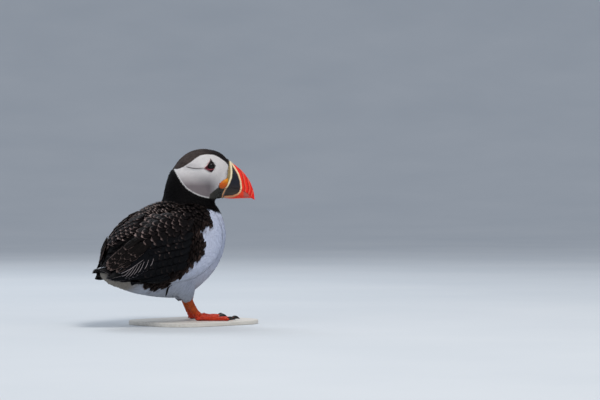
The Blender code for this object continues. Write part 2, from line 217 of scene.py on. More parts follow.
def feather_material(name, roughness, sheen, barb_depth, spread, edge=None, edge_wide=0.2, sides_from=0.5):
    """Contour feather, grown keratin: the colour is the coat's own marking.

    Barbs run slantwise off the shaft, about eight to the millimetre in life and drawn coarser here so
    that they show; they break up the shine. Slow noise makes one feather paler than the next, and
    worn feathers have a bleached edge, as strong as the marking's alpha says.
    """
    made, tree = material(name)
    mark = add(tree, "ShaderNodeAttribute", {"attribute_name": "marking"})
    place = add(tree, "ShaderNodeTexCoord").outputs["Object"]
    vane = add(tree, "ShaderNodeUVMap", {"uv_map": "Vane"}).outputs[0]
    across, along = add(tree, "ShaderNodeSeparateXYZ", in_0=vane).outputs[:2]
    off = add(tree, "ShaderNodeMath", {"operation": "ABSOLUTE"}, in_0=across).outputs[0]
    slant = add(tree, "ShaderNodeMath", {"operation": "MULTIPLY_ADD"}, in_0=off, in_1=BARB_SLANT,
                in_2=along).outputs[0]
    beat = add(tree, "ShaderNodeMath", {"operation": "MULTIPLY"}, in_0=slant, in_1=BARB_TURN).outputs[0]
    barb = add(tree, "ShaderNodeMath", {"operation": "SINE"}, in_0=beat).outputs[0]
    cloud = add(tree, "ShaderNodeTexNoise", in_0=place, Scale=1 / (CLOUD_GRAIN * MM), Detail=3.0).outputs[0]
    shade = add(tree, "ShaderNodeMapRange", in_0=cloud, in_1=0.3, in_2=0.7,
                in_3=1 - spread, in_4=1 + spread).outputs[0]
    shade = add(tree, "ShaderNodeMath", {"operation": "MULTIPLY_ADD"}, in_0=barb, in_1=spread * 0.3,
                in_2=shade).outputs[0]
    colour = add(tree, "ShaderNodeVectorMath", {"operation": "SCALE"}, in_0=mark.outputs["Color"],
                 Scale=shade).outputs[0]
    if edge:
        tip, side, late = (add(tree, "ShaderNodeMapRange", in_0=value, in_1=start, in_2=end).outputs[0]
                           for value, start, end in ((along, 1 - edge_wide, 1.0), (off, 0.68, 1.0),
                                                     (along, sides_from, sides_from + 0.35)))
        side = add(tree, "ShaderNodeMath", {"operation": "MULTIPLY"}, in_0=side, in_1=late).outputs[0]
        rim = add(tree, "ShaderNodeMath", {"operation": "MAXIMUM"}, in_0=tip, in_1=side).outputs[0]
        fleck = add(tree, "ShaderNodeTexNoise", in_0=place, Scale=1 / (WEAR_GRAIN * MM),
                    Detail=2.0).outputs[0]
        rim = add(tree, "ShaderNodeMath", {"operation": "MULTIPLY_ADD"}, in_0=fleck, in_1=0.9,
                  in_2=rim).outputs[0]
        worn = add(tree, "ShaderNodeMapRange", in_0=rim, in_1=0.75, in_2=1.3).outputs[0]
        worn = add(tree, "ShaderNodeMath", {"operation": "MULTIPLY"}, in_0=worn,
                   in_1=mark.outputs["Alpha"]).outputs[0]
        colour = add(tree, "ShaderNodeMix", {"data_type": "RGBA"}, in_0=worn, in_6=colour,
                     in_7=rgba(edge)).outputs[2]
    surface(tree, colour, barb, barb_depth, 0.2, Roughness=roughness, Sheen_Weight=sheen, Sheen_Roughness=0.5,
            Specular_IOR_Level=0.06)
    return made


def down_material():
    """Down under the contour feathers, carrying the coat's own marking, soft and without shine."""
    made, tree = material("down over skin")
    mark = add(tree, "ShaderNodeAttribute", {"attribute_name": "marking"}).outputs["Color"]
    place = add(tree, "ShaderNodeTexCoord").outputs["Object"]
    fluff = add(tree, "ShaderNodeTexNoise", in_0=place, Scale=1 / (DOWN_GRAIN * MM), Detail=4.0).outputs[0]
    surface(tree, tinted(tree, mark, fluff, 0.75, 1.05), fluff, 0.6, 0.4, Roughness=0.9)
    return made


def marked_material(name, roughness, coat, grain_mm, grain_deep, spread, stretch=(1, 1, 1), under=0.0,
                    shine=0.3):
    """Horn, bare skin and scutes: the marking gives the colour, and a grain of real size breaks it up."""
    made, tree = material(name)
    mark = add(tree, "ShaderNodeAttribute", {"attribute_name": "marking"}).outputs["Color"]
    place = add(tree, "ShaderNodeTexCoord").outputs["Object"]
    place = add(tree, "ShaderNodeMapping", in_0=place, in_3=stretch).outputs[0]
    grain = add(tree, "ShaderNodeTexNoise", in_0=place, Scale=1 / (grain_mm * MM), Detail=4.0).outputs[0]
    rough = add(tree, "ShaderNodeMapRange", in_0=grain, in_1=0.3, in_2=0.7,
                in_3=roughness * 0.8, in_4=roughness * 1.2).outputs[0]
    surface(tree, tinted(tree, mark, grain, 1 - spread, 1 + spread), grain, grain_deep, 0.3, Roughness=rough,
            Coat_Weight=coat, Coat_Roughness=0.25, Subsurface_Weight=under, Subsurface_Scale=1 * MM,
            Specular_IOR_Level=shine)
    return made


def plain_material(name, stops, grain_mm, stretch, roughness, deep):
    """Wood or paint whose colour runs between the stops along a grain of real size."""
    made, tree = material(name)
    place = add(tree, "ShaderNodeTexCoord").outputs["Object"]
    place = add(tree, "ShaderNodeMapping", in_0=place, in_3=stretch).outputs[0]
    grain = add(tree, "ShaderNodeTexNoise", in_0=place, Scale=1 / (grain_mm * MM), Detail=5.0).outputs[0]
    tone = add(tree, "ShaderNodeValToRGB", stops=[(p, rgba(c)) for p, c in stops], in_0=grain).outputs[0]
    surface(tree, tone, grain, deep, 0.2, Roughness=roughness)
    return made


# ---------------------------------------------------------------- meshes


def piece_of(name, mesh, look, slot, replaces=()):
    """A smooth piece that rides on the bird."""
    mesh.name = name
    mesh.materials.clear()
    mesh.materials.append(look)
    mesh.polygons.foreach_set("use_smooth", np.ones(len(mesh.polygons), dtype=bool))
    piece = bpy.data.objects.new(name, mesh)
    bpy.context.scene.collection.objects.link(piece)
    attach(piece, "root")
    if replaces:
        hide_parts(*replaces)
    return piece


def points_of(mesh, field="co"):
    points = np.empty(len(mesh.vertices) * 3, np.float32)
    mesh.vertices.foreach_get(field, points)
    return points.reshape(-1, 3).astype(float)


def move_points(mesh, points):
    mesh.vertices.foreach_set("co", points.astype(np.float32).ravel())
    mesh.update()


def triangles_of(mesh):
    corners = np.empty(len(mesh.polygons) * 3, np.int32)
    mesh.polygons.foreach_get("vertices", corners)
    return corners.reshape(-1, 3)


def paint(mesh, colours, edge=None):
    """Gives the mesh its marking, one colour to a vertex, with the worn edge's strength as alpha."""
    layer = mesh.attributes.new("marking", "FLOAT_COLOR", "POINT")
    full = np.ones((len(mesh.vertices), 4), np.float32)
    full[:, :3] = colours
    if edge is not None:
        full[:, 3] = edge
    layer.data.foreach_set("color", full.ravel())


def tree_of(mesh):
    points = points_of(mesh)
    return BVHTree.FromPolygons([Vector(p) for p in points], [tuple(f.vertices) for f in mesh.polygons])


def mesh_from(bm, name="shape"):
    mesh = bpy.data.meshes.new(name)
    bm.to_mesh(mesh)
    bm.free()
    return mesh


def pour(bm, whole):
    """Adds one shape to another and lets go of the first."""
    part = mesh_from(bm)
    whole.from_mesh(part)
    bpy.data.meshes.remove(part)


def tidy_normals(bm):
    """Faces outwards."""
    bmesh.ops.recalc_face_normals(bm, faces=bm.faces)
    if bm.calc_volume(signed=True) < 0:
        bmesh.ops.reverse_faces(bm, faces=bm.faces)


def tube(round_steps, long_steps, place, closed=True):
    """A grid rolled up: place(turn, along) gives each point, both from 0 to 1; the ends are filled."""
    bm = bmesh.new()
    bmesh.ops.create_grid(bm, x_segments=round_steps, y_segments=long_steps, size=1)
    for vert in bm.verts:
        vert.co = place((vert.co.x + 1) / 2, (vert.co.y + 1) / 2)
    bmesh.ops.remove_doubles(bm, verts=bm.verts, dist=0.002 * MM)
    if closed:
        bmesh.ops.holes_fill(bm, edges=[edge for edge in bm.edges if edge.is_boundary], sides=0)
    tidy_normals(bm)
    return bm


# ---------------------------------------------------------------- the bird's outline in flesh
FLESH = ("head", "neck", "trunk", "rump", "wing_left", "wing_right", "thigh_left", "thigh_right")
# How far the solids are swollen, how coarse the surface round them is and how often it is smoothed.
Form = namedtuple("Form", "swell voxel rounds")
SKIN_FORM = Form(0.28 * MM, 1.05 * MM, 5)
COVER_FORM = Form(0.5 * MM, 2.0 * MM, 24)
LEG_FORM = Form(0.22 * MM, 0.5 * MM, 8)
COAT_DEPTH = 1.5 * MM  # how far the skin lies inside the feather tips
COAT_SHARE = 0.33  # and the most of a thin part's thickness that it may take up


def joined_solids(names, form):
    """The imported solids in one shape, each swollen a little so that the thin cuts between them close."""
    whole = bmesh.new()
    for name in names:
        bm = bmesh.new()
        bm.from_mesh(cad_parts[name].data)
        bmesh.ops.remove_doubles(bm, verts=bm.verts, dist=0.001 * MM)
        bm.normal_update()
        for vert in bm.verts:
            vert.co += vert.normal * form.swell
        pour(bm, whole)
    return whole


def remeshed(bm, form):
    """One closed surface round all the given shapes, smoothed."""
    mesh = mesh_from(bm)
    holder = bpy.data.objects.new("form", mesh)
    bpy.context.scene.collection.objects.link(holder)
    fuse = holder.modifiers.new("fuse", "REMESH")
    fuse.mode = "VOXEL"
    fuse.voxel_size = form.voxel
    soften = holder.modifiers.new("soften", "SMOOTH")
    soften.iterations = form.rounds
    soften.factor = 0.5
    graph = bpy.context.evaluated_depsgraph_get()
    made = bpy.data.meshes.new_from_object(holder.evaluated_get(graph))
    bpy.data.objects.remove(holder)
    bpy.data.meshes.remove(mesh)
    return made


def sunk(mesh, depth):
    """Moves every point in by the coat's depth, and by less where the flesh is thin."""
    tree = tree_of(mesh)
    points = points_of(mesh)
    normals = points_of(mesh, "normal")
    room = np.full(len(points), 1.0)
    for i, (p, n) in enumerate(zip(points, normals)):
        hit = tree.ray_cast(Vector(p) - Vector(n) * 0.05 * MM, -Vector(n), 12 * MM)
        if hit[0] is not None:
            room[i] = hit[3]
    move_points(mesh, points - normals * np.minimum(depth, room * COAT_SHARE)[:, None])


def triangulated(mesh):
    """Cuts the mesh's faces into triangles that face outwards."""
    bm = bmesh.new()
    bm.from_mesh(mesh)
    bmesh.ops.triangulate(bm, faces=bm.faces)
    bmesh.ops.recalc_face_normals(bm, faces=bm.faces)
    bm.to_mesh(mesh)
    bm.free()


def skin_mesh():
    """The skin inside the coat's depth, and a tree of the surface that it was sunk from."""
    made = remeshed(joined_solids(FLESH, SKIN_FORM), SKIN_FORM)
    outer = tree_of(made)
    sunk(made, COAT_DEPTH)
    triangulated(made)
    return made, outer


def unwrapped(mesh):
    """Unwraps the skin over its own shape, and gives each triangle's three corners."""
    holder = bpy.data.objects.new("unwrap", mesh)
    bpy.context.scene.collection.objects.link(holder)
    bpy.context.view_layer.objects.active = holder
    holder.select_set(True)
    mesh.uv_layers.new(name="OFBake")
    bpy.ops.object.mode_set(mode="EDIT")
    bpy.ops.mesh.select_all(action="SELECT")
    bpy.ops.uv.smart_project(angle_limit=math.radians(60), island_margin=0.004)
    bpy.ops.object.mode_set(mode="OBJECT")
    bpy.data.objects.remove(holder)
    flat = np.empty(len(mesh.loops) * 2, np.float32)
    mesh.uv_layers["OFBake"].data.foreach_get("uv", flat)
    return flat.reshape(-1, 3, 2)


# ---------------------------------------------------------------- markings
# Lines are drawn in the head's own millimetres (ahead, up) and, for the body, in the upright
# plane that runs along the bill's line (along, up).
FACE_UPPER = ((-22.4, 151.2), (-18.2, 150.9), (-13.7, 152.6), (-9.6, 155.2), (-5.5, 157.8), (-0.9, 161.3),
              (3.7, 164.4), (8.3, 165.4), (12.9, 165.6), (18.0, 165.1), (21.6, 163.4), (25.1, 161.3),
              (28.7, 158.8), (30.7, 156.7), (33.0, 153.5), (36.0, 149.0))
FACE_LOWER = ((-22.4, 151.2), (-20.3, 147.3), (-18.2, 143.3), (-15.7, 139.2), (-13.1, 135.6), (-9.6, 131.5),
              (-5.5, 128.6), (-0.6, 125.9), (4.7, 123.8), (9.8, 122.5), (14.9, 121.7), (20.0, 121.3),
              (27.0, 122.5), (36.0, 125.0))
CHIN_PATCH = ((12.9, 121.5), (13.9, 125.9), (20.0, 131.0), (23.6, 133.5), (27.5, 131.0), (27.0, 121.0))
CREASE = ((8.2, 151.9), (4.0, 151.6), (-0.4, 151.6), (-3.6, 151.8), (-6.5, 152.3), (-9.6, 153.2))
ORBIT = ((14.4, 161.6), (12.7, 158.4), (10.4, 154.9), (7.2, 151.8), (10.2, 150.0), (13.0, 148.3),
         (15.3, 147.6), (17.3, 149.7), (18.4, 153.0), (17.6, 156.4), (15.8, 159.2))
BREAST_LINE = ((20.0, 110.5), (27.4, 107.0), (31.9, 97.1), (19.8, 88.2), (24.9, 78.0), (23.6, 69.0),
               (13.4, 56.3), (-3.2, 42.2), (-13.4, 34.5), (-24.8, 30.5), (-40.2, 36.5), (-60.0, 38.0),
               (-71.0, 39.5), (-82.0, 46.0), (-110.0, 49.0))


def closed(outline):
    return (*outline, outline[0])


def inside(outline, x, y):
    """Which points lie inside the closed outline."""
    corners = np.array(outline)
    within = np.zeros(len(x), dtype=bool)
    for (ax, ay), (bx, by) in zip(corners, np.roll(corners, -1, axis=0)):
        slope = (bx - ax) / (by - ay) if by != ay else 0.0
        within ^= ((ay > y) != (by > y)) & (x < ax + (y - ay) * slope)
    return within


def off_line(line, x, y):
    """How far each point is from an open line, positive on the line's right-hand side."""
    line = np.array(line)
    best = np.full(len(x), 1e9)
    side = np.ones(len(x))
    for (ax, ay), (bx, by) in zip(line, line[1:]):
        run, rise = bx - ax, by - ay
        t = np.clip(((x - ax) * run + (y - ay) * rise) / (run * run + rise * rise), 0, 1)
        away = np.hypot(x - ax - t * run, y - ay - t * rise)
        nearer = away < best
        best[nearer] = away[nearer]
        side[nearer] = np.sign((run * (ay - y) - rise * (ax - x)))[nearer]
    return best * side


SIDE_SLOPE = 0.03  # the side view looks down by this much, so nearer things stand lower in it


def side_mm(points):
    """Body points seen along the bill's line: along and up, the same on both sides."""
    body = body_mm(points)
    outer = np.abs(body[:, 1])
    nearer = outer * HEAD_SIDE.y - body[:, 0] * HEAD_SIDE.x
    return body[:, 0] * HEAD_AHEAD.x + outer * abs(HEAD_AHEAD.y), body[:, 2] - nearer * SIDE_SLOPE


TRACTS = ("face", "cap", "neck", "mantle", "wing", "breast", "flank", "rump", "vent", "chin")
FACE, CAP, NECK, MANTLE, WING, BREAST, FLANK, RUMP, VENT, CHIN = range(len(TRACTS))


def tracts(points):
    """The feather tract that each point belongs to."""
    ahead, side, up = head_mm(points).T
    x, y, z = body_mm(points).T
    along, high = side_mm(points)
    kind = np.full(len(points), WING)
    white = inside(list(BREAST_LINE) + [(-110, -20), (90, -20), (90, 110.5)], along, high)
    tail_root = (x < -72) & (z < 49.5) & (np.abs(y) < 10.5 + (x + 93) * 0.3)
    white |= tail_root
    kind[white] = BREAST
    kind[white & (x < -50)] = VENT
    dark = ~white
    kind[dark & (z > 86.6 + 0.43 * np.minimum(x + 51, 0)) & (x > -95)] = MANTLE
    # The far shoulder's lobe, whose lower edge climbs towards the neck.
    drawn = x * HEAD_AHEAD.x - y * abs(HEAD_AHEAD.y)
    lobe = dark & (z > 86.5 + 0.5 * np.minimum(drawn + 44, 0)) & (z > 66)
    kind[lobe] = MANTLE
    # The flank under the wing and the dark feathers ahead of the shoulder.
    kind[dark & (along > -40) & (high < 60 + 0.42 * along) & (high < 68)] = FLANK
    kind[dark & (along > 6) & (high < 100)] = FLANK
    # The back between the wings, and the rump behind it.
    kind[dark & (np.abs(y) < 16) & (x > -60)] = MANTLE
    kind[dark & (x < -58) & (np.abs(y) < 17) & (z > 44) & ~lobe] = RUMP
    collar = 106.5 + 0.06 * np.abs(y) + np.clip((30 - x) * 0.20, 0, 14)
    kind[(z > collar) & (x > -22)] = NECK
    upper = np.interp(ahead, *np.array(FACE_UPPER).T)
    lower = np.interp(ahead, *np.array(FACE_LOWER).T)
    on_head = (up > 118) & (ahead < 37)
    face = on_head & (up < upper) & (up > lower) & (ahead > -22.4) & (np.abs(side) > 2.5)
    kind[face] = FACE
    kind[on_head & (up >= upper) & (up > 150.2 + 0.18 * (-22 - ahead))] = CAP
    kind[face & inside(CHIN_PATCH, ahead, up)] = CHIN
    return kind


BLACK = linear("#0b090a")
SLATE = linear("#0b0c10")
FLANK_BROWN = linear("#150f0e")
MANTLE_BLACK = linear("#0e0a0b")
CAP_BROWN = linear("#564b47")
CAP_DARK = linear("#2e2829")
FACE_PALE = linear("#e9e4e2")
FACE_GREY = linear("#7b7174")
CHIN_GREY = linear("#4d4b46")
BREAST_WHITE_SHADED = linear("#c4cadd")
BELLY_SHADE = linear("#a3a9b6")
VENT_SHADE = linear("#7d776f")
CREASE_SHADE = linear("#4a3f3d")
EDGE_TONE = linear("#4b3c37")  # brown-grey where the dark flank frays into the white


def marking(points, kinds):
    """The coat's colour at each point, shared by the skin and the feathers over it."""
    ahead, _, up = head_mm(points).T
    x, _, z = body_mm(points).T
    along, _ = side_mm(points)
    # The face is palest ahead, greyer over the cheek and behind the brow, with a white rim below. The cheek's
    # grey is partly its own dusky grey and partly painted shade, where it turns away from the light.
    cheek = ramp(up, 148, 134) * ramp(ahead, 26, 13)
    face = blend(FACE_PALE, FACE_GREY, cheek * 0.95)
    brow = ramp(up, 158, 153) * ramp(up, 152, 155) * ramp(ahead, 6, -2)
    face = blend(face, FACE_GREY, brow * 0.35)
    rim = np.abs(off_line(FACE_LOWER, ahead, up))
    face = blend(face, "#efecea", 1.2 - rim / 1.1)
    # Painted shade along the fold that runs back from the eye.
    face = blend(face, CREASE_SHADE, 0.75 - np.abs(off_line(CREASE, ahead, up)) / 0.7)
    # The cap darkens towards the bill, and painted shade darkens it low down, so that its top looks lit.
    cap = blend(CAP_BROWN, CAP_DARK, ramp(ahead, 4, 18) + ramp(up, 158, 151) * 0.35)
    # The white is dimmed and tinted blue with painted shade, bluer at the front of the breast, and painted
    # shade greys it down to the belly and the vent.
    white = blend(BREAST_WHITE_SHADED, "#b1bad2", ramp(along, 34, 48))
    white = blend(white, BELLY_SHADE, ramp(z, 60, 30))
    vent = blend(white, VENT_SHADE, ramp(x, -50, -74))
    # The rump is painted darker than the other blacks, as shade between the wings.
    fixed = {NECK: BLACK, MANTLE: MANTLE_BLACK, WING: SLATE, RUMP: BLACK * 0.6, FLANK: FLANK_BROWN,
             CHIN: CHIN_GREY}
    colours = np.zeros((len(points), 3))
    for kind, colour in fixed.items():
        colours[kinds == kind] = colour
    for kind, colour in ((FACE, face), (CAP, cap), (BREAST, white), (VENT, vent)):
        colours[kinds == kind] = colour[kinds == kind]
    return colours


# ---------------------------------------------------------------- lie of the coat


def lie_of_coat(mesh):
    """The way feathers lie at every point: away from the bill over the skin's own shape."""
    points = points_of(mesh)
    edges = np.empty(len(mesh.edges) * 2, np.int32)
    mesh.edges.foreach_get("vertices", edges)
    edges = edges.reshape(-1, 2)
    first, second = edges.T
    spans = np.linalg.norm(points[first] - points[second], axis=1)
    near = [[] for _ in range(len(points))]
    for (a, b), span in zip(edges.tolist(), spans.tolist()):
        near[a].append((b, span))
        near[b].append((a, span))
    # The shortest way over the surface from the bill's base to every point.
    head = head_mm(points)
    far = np.full(len(points), 1e9)
    queue = []
    for i in np.nonzero((head[:, 0] > 30) & (head[:, 2] > 124))[0].tolist():
        far[i] = 0.0
        queue.append((0.0, i))
    heapq.heapify(queue)
    while queue:
        walked, i = heapq.heappop(queue)
        if walked > far[i]:
            continue
        for j, span in near[i]:
            if walked + span < far[j]:
                far[j] = walked + span
                heapq.heappush(queue, (far[j], j))
    count = np.bincount(edges.ravel(), minlength=len(points))

    def gathered(to_first, to_second):
        """At each point, the sum of what its edges bring to it."""
        return np.bincount(first, to_first, len(points)) + np.bincount(second, to_second, len(points))

    def spread(values, rounds):
        for _ in range(rounds):
            values = 0.4 * values + 0.6 * gathered(values[second], values[first]) / count
        return values

    # Feathers lie the way that this distance grows, and hang a little below the neck.
    far = spread(far, 60)
    steps = points[second] - points[first]
    rise = (far[second] - far[first]) / np.maximum(spans, 1e-9) ** 2
    flow = unit(np.stack([gathered(part, part) for part in (steps * rise[:, None]).T], axis=1))
    flow[:, 2] += np.where(body_mm(points)[:, 2] < 105, -0.12, 0.0)
    return unit(np.stack([spread(part, 25) for part in flow.T], axis=1))


# ---------------------------------------------------------------- feathers
TRIES = 4.5  # places tried for each one wanted
CLOSEST = 0.82  # the nearest that two may stand, as a share of their spacing
PATCH = (0.0015, 0.003)  # half width and length of a small feather's place on the bake map
SMALL_THICK, LARGE_THICK, BLADE_THICK, SCUTE_THICK = 0.12, 0.25, 0.35, 0.15  # vanes' thickness, mm
MERGED = 2.2  # how much more a soft feather's light follows the flesh than its own form


def scatter(points, triangles, kinds, spacings):
    """Root places spread over the skin, each tract at its own spacing."""
    corners = points[triangles]
    areas = np.linalg.norm(np.cross(corners[:, 1] - corners[:, 0], corners[:, 2] - corners[:, 0]), axis=1) / 2
    spacing = np.array(spacings)[kinds[triangles[:, 0]]] * MM
    wanted = areas / spacing ** 2
    picked = RNG.choice(len(areas), size=int(wanted.sum() * TRIES), p=wanted / wanted.sum())
    a, b = RNG.random((2, len(picked)))
    flip = a + b > 1
    a[flip], b[flip] = 1 - a[flip], 1 - b[flip]
    weights = np.stack((1 - a - b, a, b), axis=1)
    places = (corners[picked] * weights[:, :, None]).sum(axis=1)
    gaps = spacing[picked] * CLOSEST
    near = kd_tree(places)
    dropped = np.zeros(len(places), dtype=bool)
    for i, (place, gap) in enumerate(zip(places, gaps)):
        if dropped[i]:
            continue
        for _, j, _ in near.find_range(Vector(place), float(gap)):
            if j > i:
                dropped[j] = True
    kept = np.nonzero(~dropped)[0]
    return places[kept], picked[kept], weights[kept]


def vane_shape(rows, columns, narrow, blunt, tip=0.15):
    """A closed vane in its own terms: across (-1 to 1), along (0 to 1), and which side it is on.

    A grid is bent to the vane's outline, and one row of points under the shaft closes it. Narrow is
    the root's share of the width, blunt is where the vane is widest, and tip its share at the end.
    """
    bm = bmesh.new()
    bmesh.ops.create_grid(bm, x_segments=columns, y_segments=rows, size=1)
    rim = [edge for edge in bm.edges if edge.is_boundary]
    under = bmesh.ops.extrude_edge_only(bm, edges=rim)
    lower = [item for item in under["geom"] if isinstance(item, bmesh.types.BMVert)]
    for vert in lower:
        vert.co.x = 0
        vert.co.z = -1
    bmesh.ops.remove_doubles(bm, verts=lower, dist=1e-4)
    holes = [edge for edge in bm.edges if edge.is_boundary]
    if holes:
        bmesh.ops.holes_fill(bm, edges=holes, sides=0)
    bmesh.ops.triangulate(bm, faces=bm.faces)
    tidy_normals(bm)
    bm.verts.index_update()
    shape = np.array([(v.co.x, (v.co.y + 1) / 2, v.co.z) for v in bm.verts])
    faces = np.array([[v.index for v in f.verts] for f in bm.faces])
    bm.free()
    along = np.round(shape[:, 1], 5)
    grow = np.sin(np.minimum(along / blunt, 1) * math.pi / 2)
    taper = np.sqrt(np.clip(1 - ramp(along, blunt, 1) ** 2 * (1 - tip * tip), 0, 1))
    return {"across": shape[:, 0], "along": along, "under": shape[:, 2] < -0.5,
            "width": part_way(narrow, 1, grow) * taper, "faces": faces, "stations": np.unique(along)}


def vanes_on(middles, ups, shape, halves, low, high, arch, thick):
    """Stands each vane on its line of middles; low and high are its root's and its tip's height."""
    ups = unit(ups)
    ahead = unit(np.gradient(middles, axis=1))
    aside = unit(np.cross(ahead, ups))
    row = np.searchsorted(shape["stations"], shape["along"])
    spread = shape["across"] * shape["width"]
    low, high, halves, arch = (np.broadcast_to(value, len(middles)) for value in (low, high, halves, arch))
    rise = low[:, None] + (high - low)[:, None] * shape["along"][None] ** 1.3
    rise = rise - (arch * halves)[:, None] * (spread ** 2)[None]
    rise = rise - np.where(shape["under"], thick, 0.0)[None]
    return (middles[:, row] + aside[:, row] * (spread[None] * halves[:, None])[:, :, None]
            + ups[:, row] * rise[:, :, None])


def empty_lines(count, shape):
    """Room for each vane's middle line and its outward directions."""
    return np.zeros((2, count, len(shape["stations"]), 3))


def walked_lines(tree, roots, flows, lengths, shape):
    """Each feather's middle line and its outward directions, walked along the skin from its root."""
    middles, ups = empty_lines(len(roots), shape)
    for i in range(len(roots)):
        here, flow, walked = Vector(roots[i]), Vector(flows[i]), 0.0
        for k, station in enumerate(shape["stations"]):
            goal = here + flow * float(lengths[i] * (station - walked))
            here, normal, _, _ = tree.find_nearest(goal)
            flow = (flow - normal * flow.dot(normal)).normalized()
            middles[i, k] = here
            ups[i, k] = normal
            walked = station
    ups[:, 1:] += ups[:, :-1] * 0.6
    return middles, ups


def spanned_lines(tree, roots, tips, bow, shape, loose=0.0):
    """Middle lines that run from root to tip, bowed down and laid on the form, loose at their tips."""
    middles, ups = empty_lines(len(roots), shape)
    for i in range(len(roots)):
        for k, s in enumerate(shape["stations"]):
            goal = Vector(part_way(roots[i], tips[i], s) - np.array((0, 0, bow)) * math.sin(math.pi * s))
            place, normal, _, _ = tree.find_nearest(goal)
            middles[i, k] = place.lerp(goal, loose * max(s - 0.6, 0) / 0.4)
            ups[i, k] = normal
    for _ in range(3):
        for line in (middles, ups):
            line[:, 1:-1] = 0.5 * line[:, 1:-1] + 0.25 * (line[:, :-2] + line[:, 2:])
    return middles, ups


def feather_piece(name, placed, shape, colours, patches, look, slot, edge=None, size=PATCH, replaces=(),
                  lie=None):
    """Joins many laid vanes into one mesh with its marking, its own map and the bake map.

    The colours are one to a vane or one to a vertex. Where lie is given, one direction to a vane, the
    vanes catch the light as the flesh under them does.
    """
    count, each = placed.shape[:2]
    faces = (shape["faces"][None] + (np.arange(count) * each)[:, None, None]).reshape(-1, 3)
    mesh = bpy.data.meshes.new(name)
    mesh.vertices.add(count * each)
    mesh.vertices.foreach_set("co", placed.astype(np.float32).ravel())
    mesh.loops.add(len(faces) * 3)
    mesh.loops.foreach_set("vertex_index", faces.astype(np.int32).ravel())
    mesh.polygons.add(len(faces))
    mesh.polygons.foreach_set("loop_start", np.arange(0, len(faces) * 3, 3, dtype=np.int32))
    mesh.update(calc_edges=True)
    mesh.validate()
    colours = np.repeat(colours, each, axis=0) if len(colours) == count else colours
    paint(mesh, colours, None if edge is None else np.repeat(edge, each))
    corner = faces.ravel()
    own = np.stack((np.tile(shape["across"], count), np.tile(shape["along"], count)), axis=1)
    spread = np.stack((shape["across"], shape["along"] - 0.5), axis=1) * size
    bake = (patches[:, None, :] + spread[None]).reshape(-1, 2)
    for layer, places in (("Vane", own), ("OFBake", bake)):
        mesh.uv_layers.new(name=layer).data.foreach_set("uv", places[corner].astype(np.float32).ravel())
    piece_of(name, mesh, look, slot, replaces)
    if lie is not None:
        own = points_of(mesh, "normal")
        merged = np.repeat(lie, each, axis=0) * MERGED + own
        out = np.where(np.tile(shape["under"], count)[:, None], own, merged)
        mesh.normals_split_custom_set_from_vertices(unit(out).tolist())


def vary(count, spread):
    return 1 + RNG.uniform(-spread, spread, count)


def sheet_patches(count):
    """A place of its own on the bake map for each of a few large feathers, and its half size."""
    wide = math.ceil(math.sqrt(count))
    cell = 1 / wide
    spots = np.array([((i % wide + 0.5) * cell, (i // wide + 0.5) * cell) for i in range(count)])
    return spots, (cell * 0.42, cell * 0.84)


# ---------------------------------------------------------------- looks
# Feathers: roughness, sheen, the barbs' depth, how much the tone varies, then the worn edge's colour,
# its share of the vane's length and where along the vane it starts down the sides.
# Velvety black keratin: a broken, dull shine, so that black stays black.
BLACK_FEATHER = feather_material("black contour feathers", 0.6, 0.0, 0.3, 0.25)
# The same with wide bleached edges, which draw the back's brown scales.
SCALY_FEATHER = feather_material("mantle feathers with bleached edges", 0.6, 0.0, 0.3, 0.3, "#b79f97", 0.34)
# White keratin: matte and even, with a breath of sheen where the breast turns away.
WHITE_FEATHER = feather_material("white contour feathers", 0.8, 0.1, 0.2, 0.04)
# Short velvet: no shine at all, only a soft bloom round the cheek.
FACE_FEATHER = feather_material("velvet face feathers", 0.85, 0.1, 0.2, 0.04)
# Sleeker, stiffer vanes: a little more shine, and a pale edge round each tip.
COVERT = feather_material("wing coverts with bleached edges", 0.55, 0.0, 0.4, 0.3, "#b79e97", 0.24)
# Long worn vanes: uneven in tone, edged brown along their sides.
TERTIAL = feather_material("long inner wing feathers", 0.55, 0.0, 0.4, 0.45, "#a18a82", 0.12, 0.3)
# The stiffest vanes: the clearest barbs, the most shine and a hairline of grey.
FLIGHT = feather_material("flight feathers", 0.5, 0.0, 0.5, 0.2, "#8f898c", 0.06)
# Fluff: a matte ground that fills the chinks between feathers.
DOWN = down_material()
# Horn, skin and glass: roughness, clear coat, grain in mm, the grain's depth, how much the tone varies.
# Waxy horn: a soft, wide highlight over growth lines drawn out across the plates.
HORN = marked_material("bill sheath of waxy horn", 0.42, 0.08, 1.6, 0.25, 0.10, (0.4, 0.4, 1.6), 0.05)
# Warty skin: small bright bumps with a little light passing through them.
GAPE_SKIN = marked_material("warty gape skin", 0.55, 0.0, 0.9, 0.8, 0.14, under=0.1)
# Fine dry skin: a faint grain and no gloss.
LID_SKIN = marked_material("bare skin round the eye", 0.5, 0.0, 0.5, 0.5, 0.12)
# Scaled skin, as if just damp: a thin gloss over a rough grain.
LEG_SKIN = marked_material("scaled leg skin", 0.5, 0.06, 1.1, 0.6, 0.14, under=0.08)
# Hard dark horn: a tight highlight along the curve.
CLAW_HORN = marked_material("claw horn", 0.35, 0.1, 0.8, 0.2, 0.2)
# Painted glass: one sharp bright point on near black.
EYE_GLASS = marked_material("taxidermy eye of painted glass", 0.12, 0.25, 0.5, 0.0, 0.1, shine=0.12)
# Limed oak: chalky, with a pale grain drawn out along the board.
STAND = plain_material("lime-washed oak", ((0.3, "#cfc9bf"), (0.6, "#dcd7ce"), (0.75, "#c3bbae")), 25.0,
                       (1.0, 9.0, 9.0), 0.6, 0.25)

skin, outer_tree = skin_mesh()
skin_uv = unwrapped(skin)
skin_tree = tree_of(skin)
skin_points = points_of(skin)
skin_kinds = tracts(skin_points)

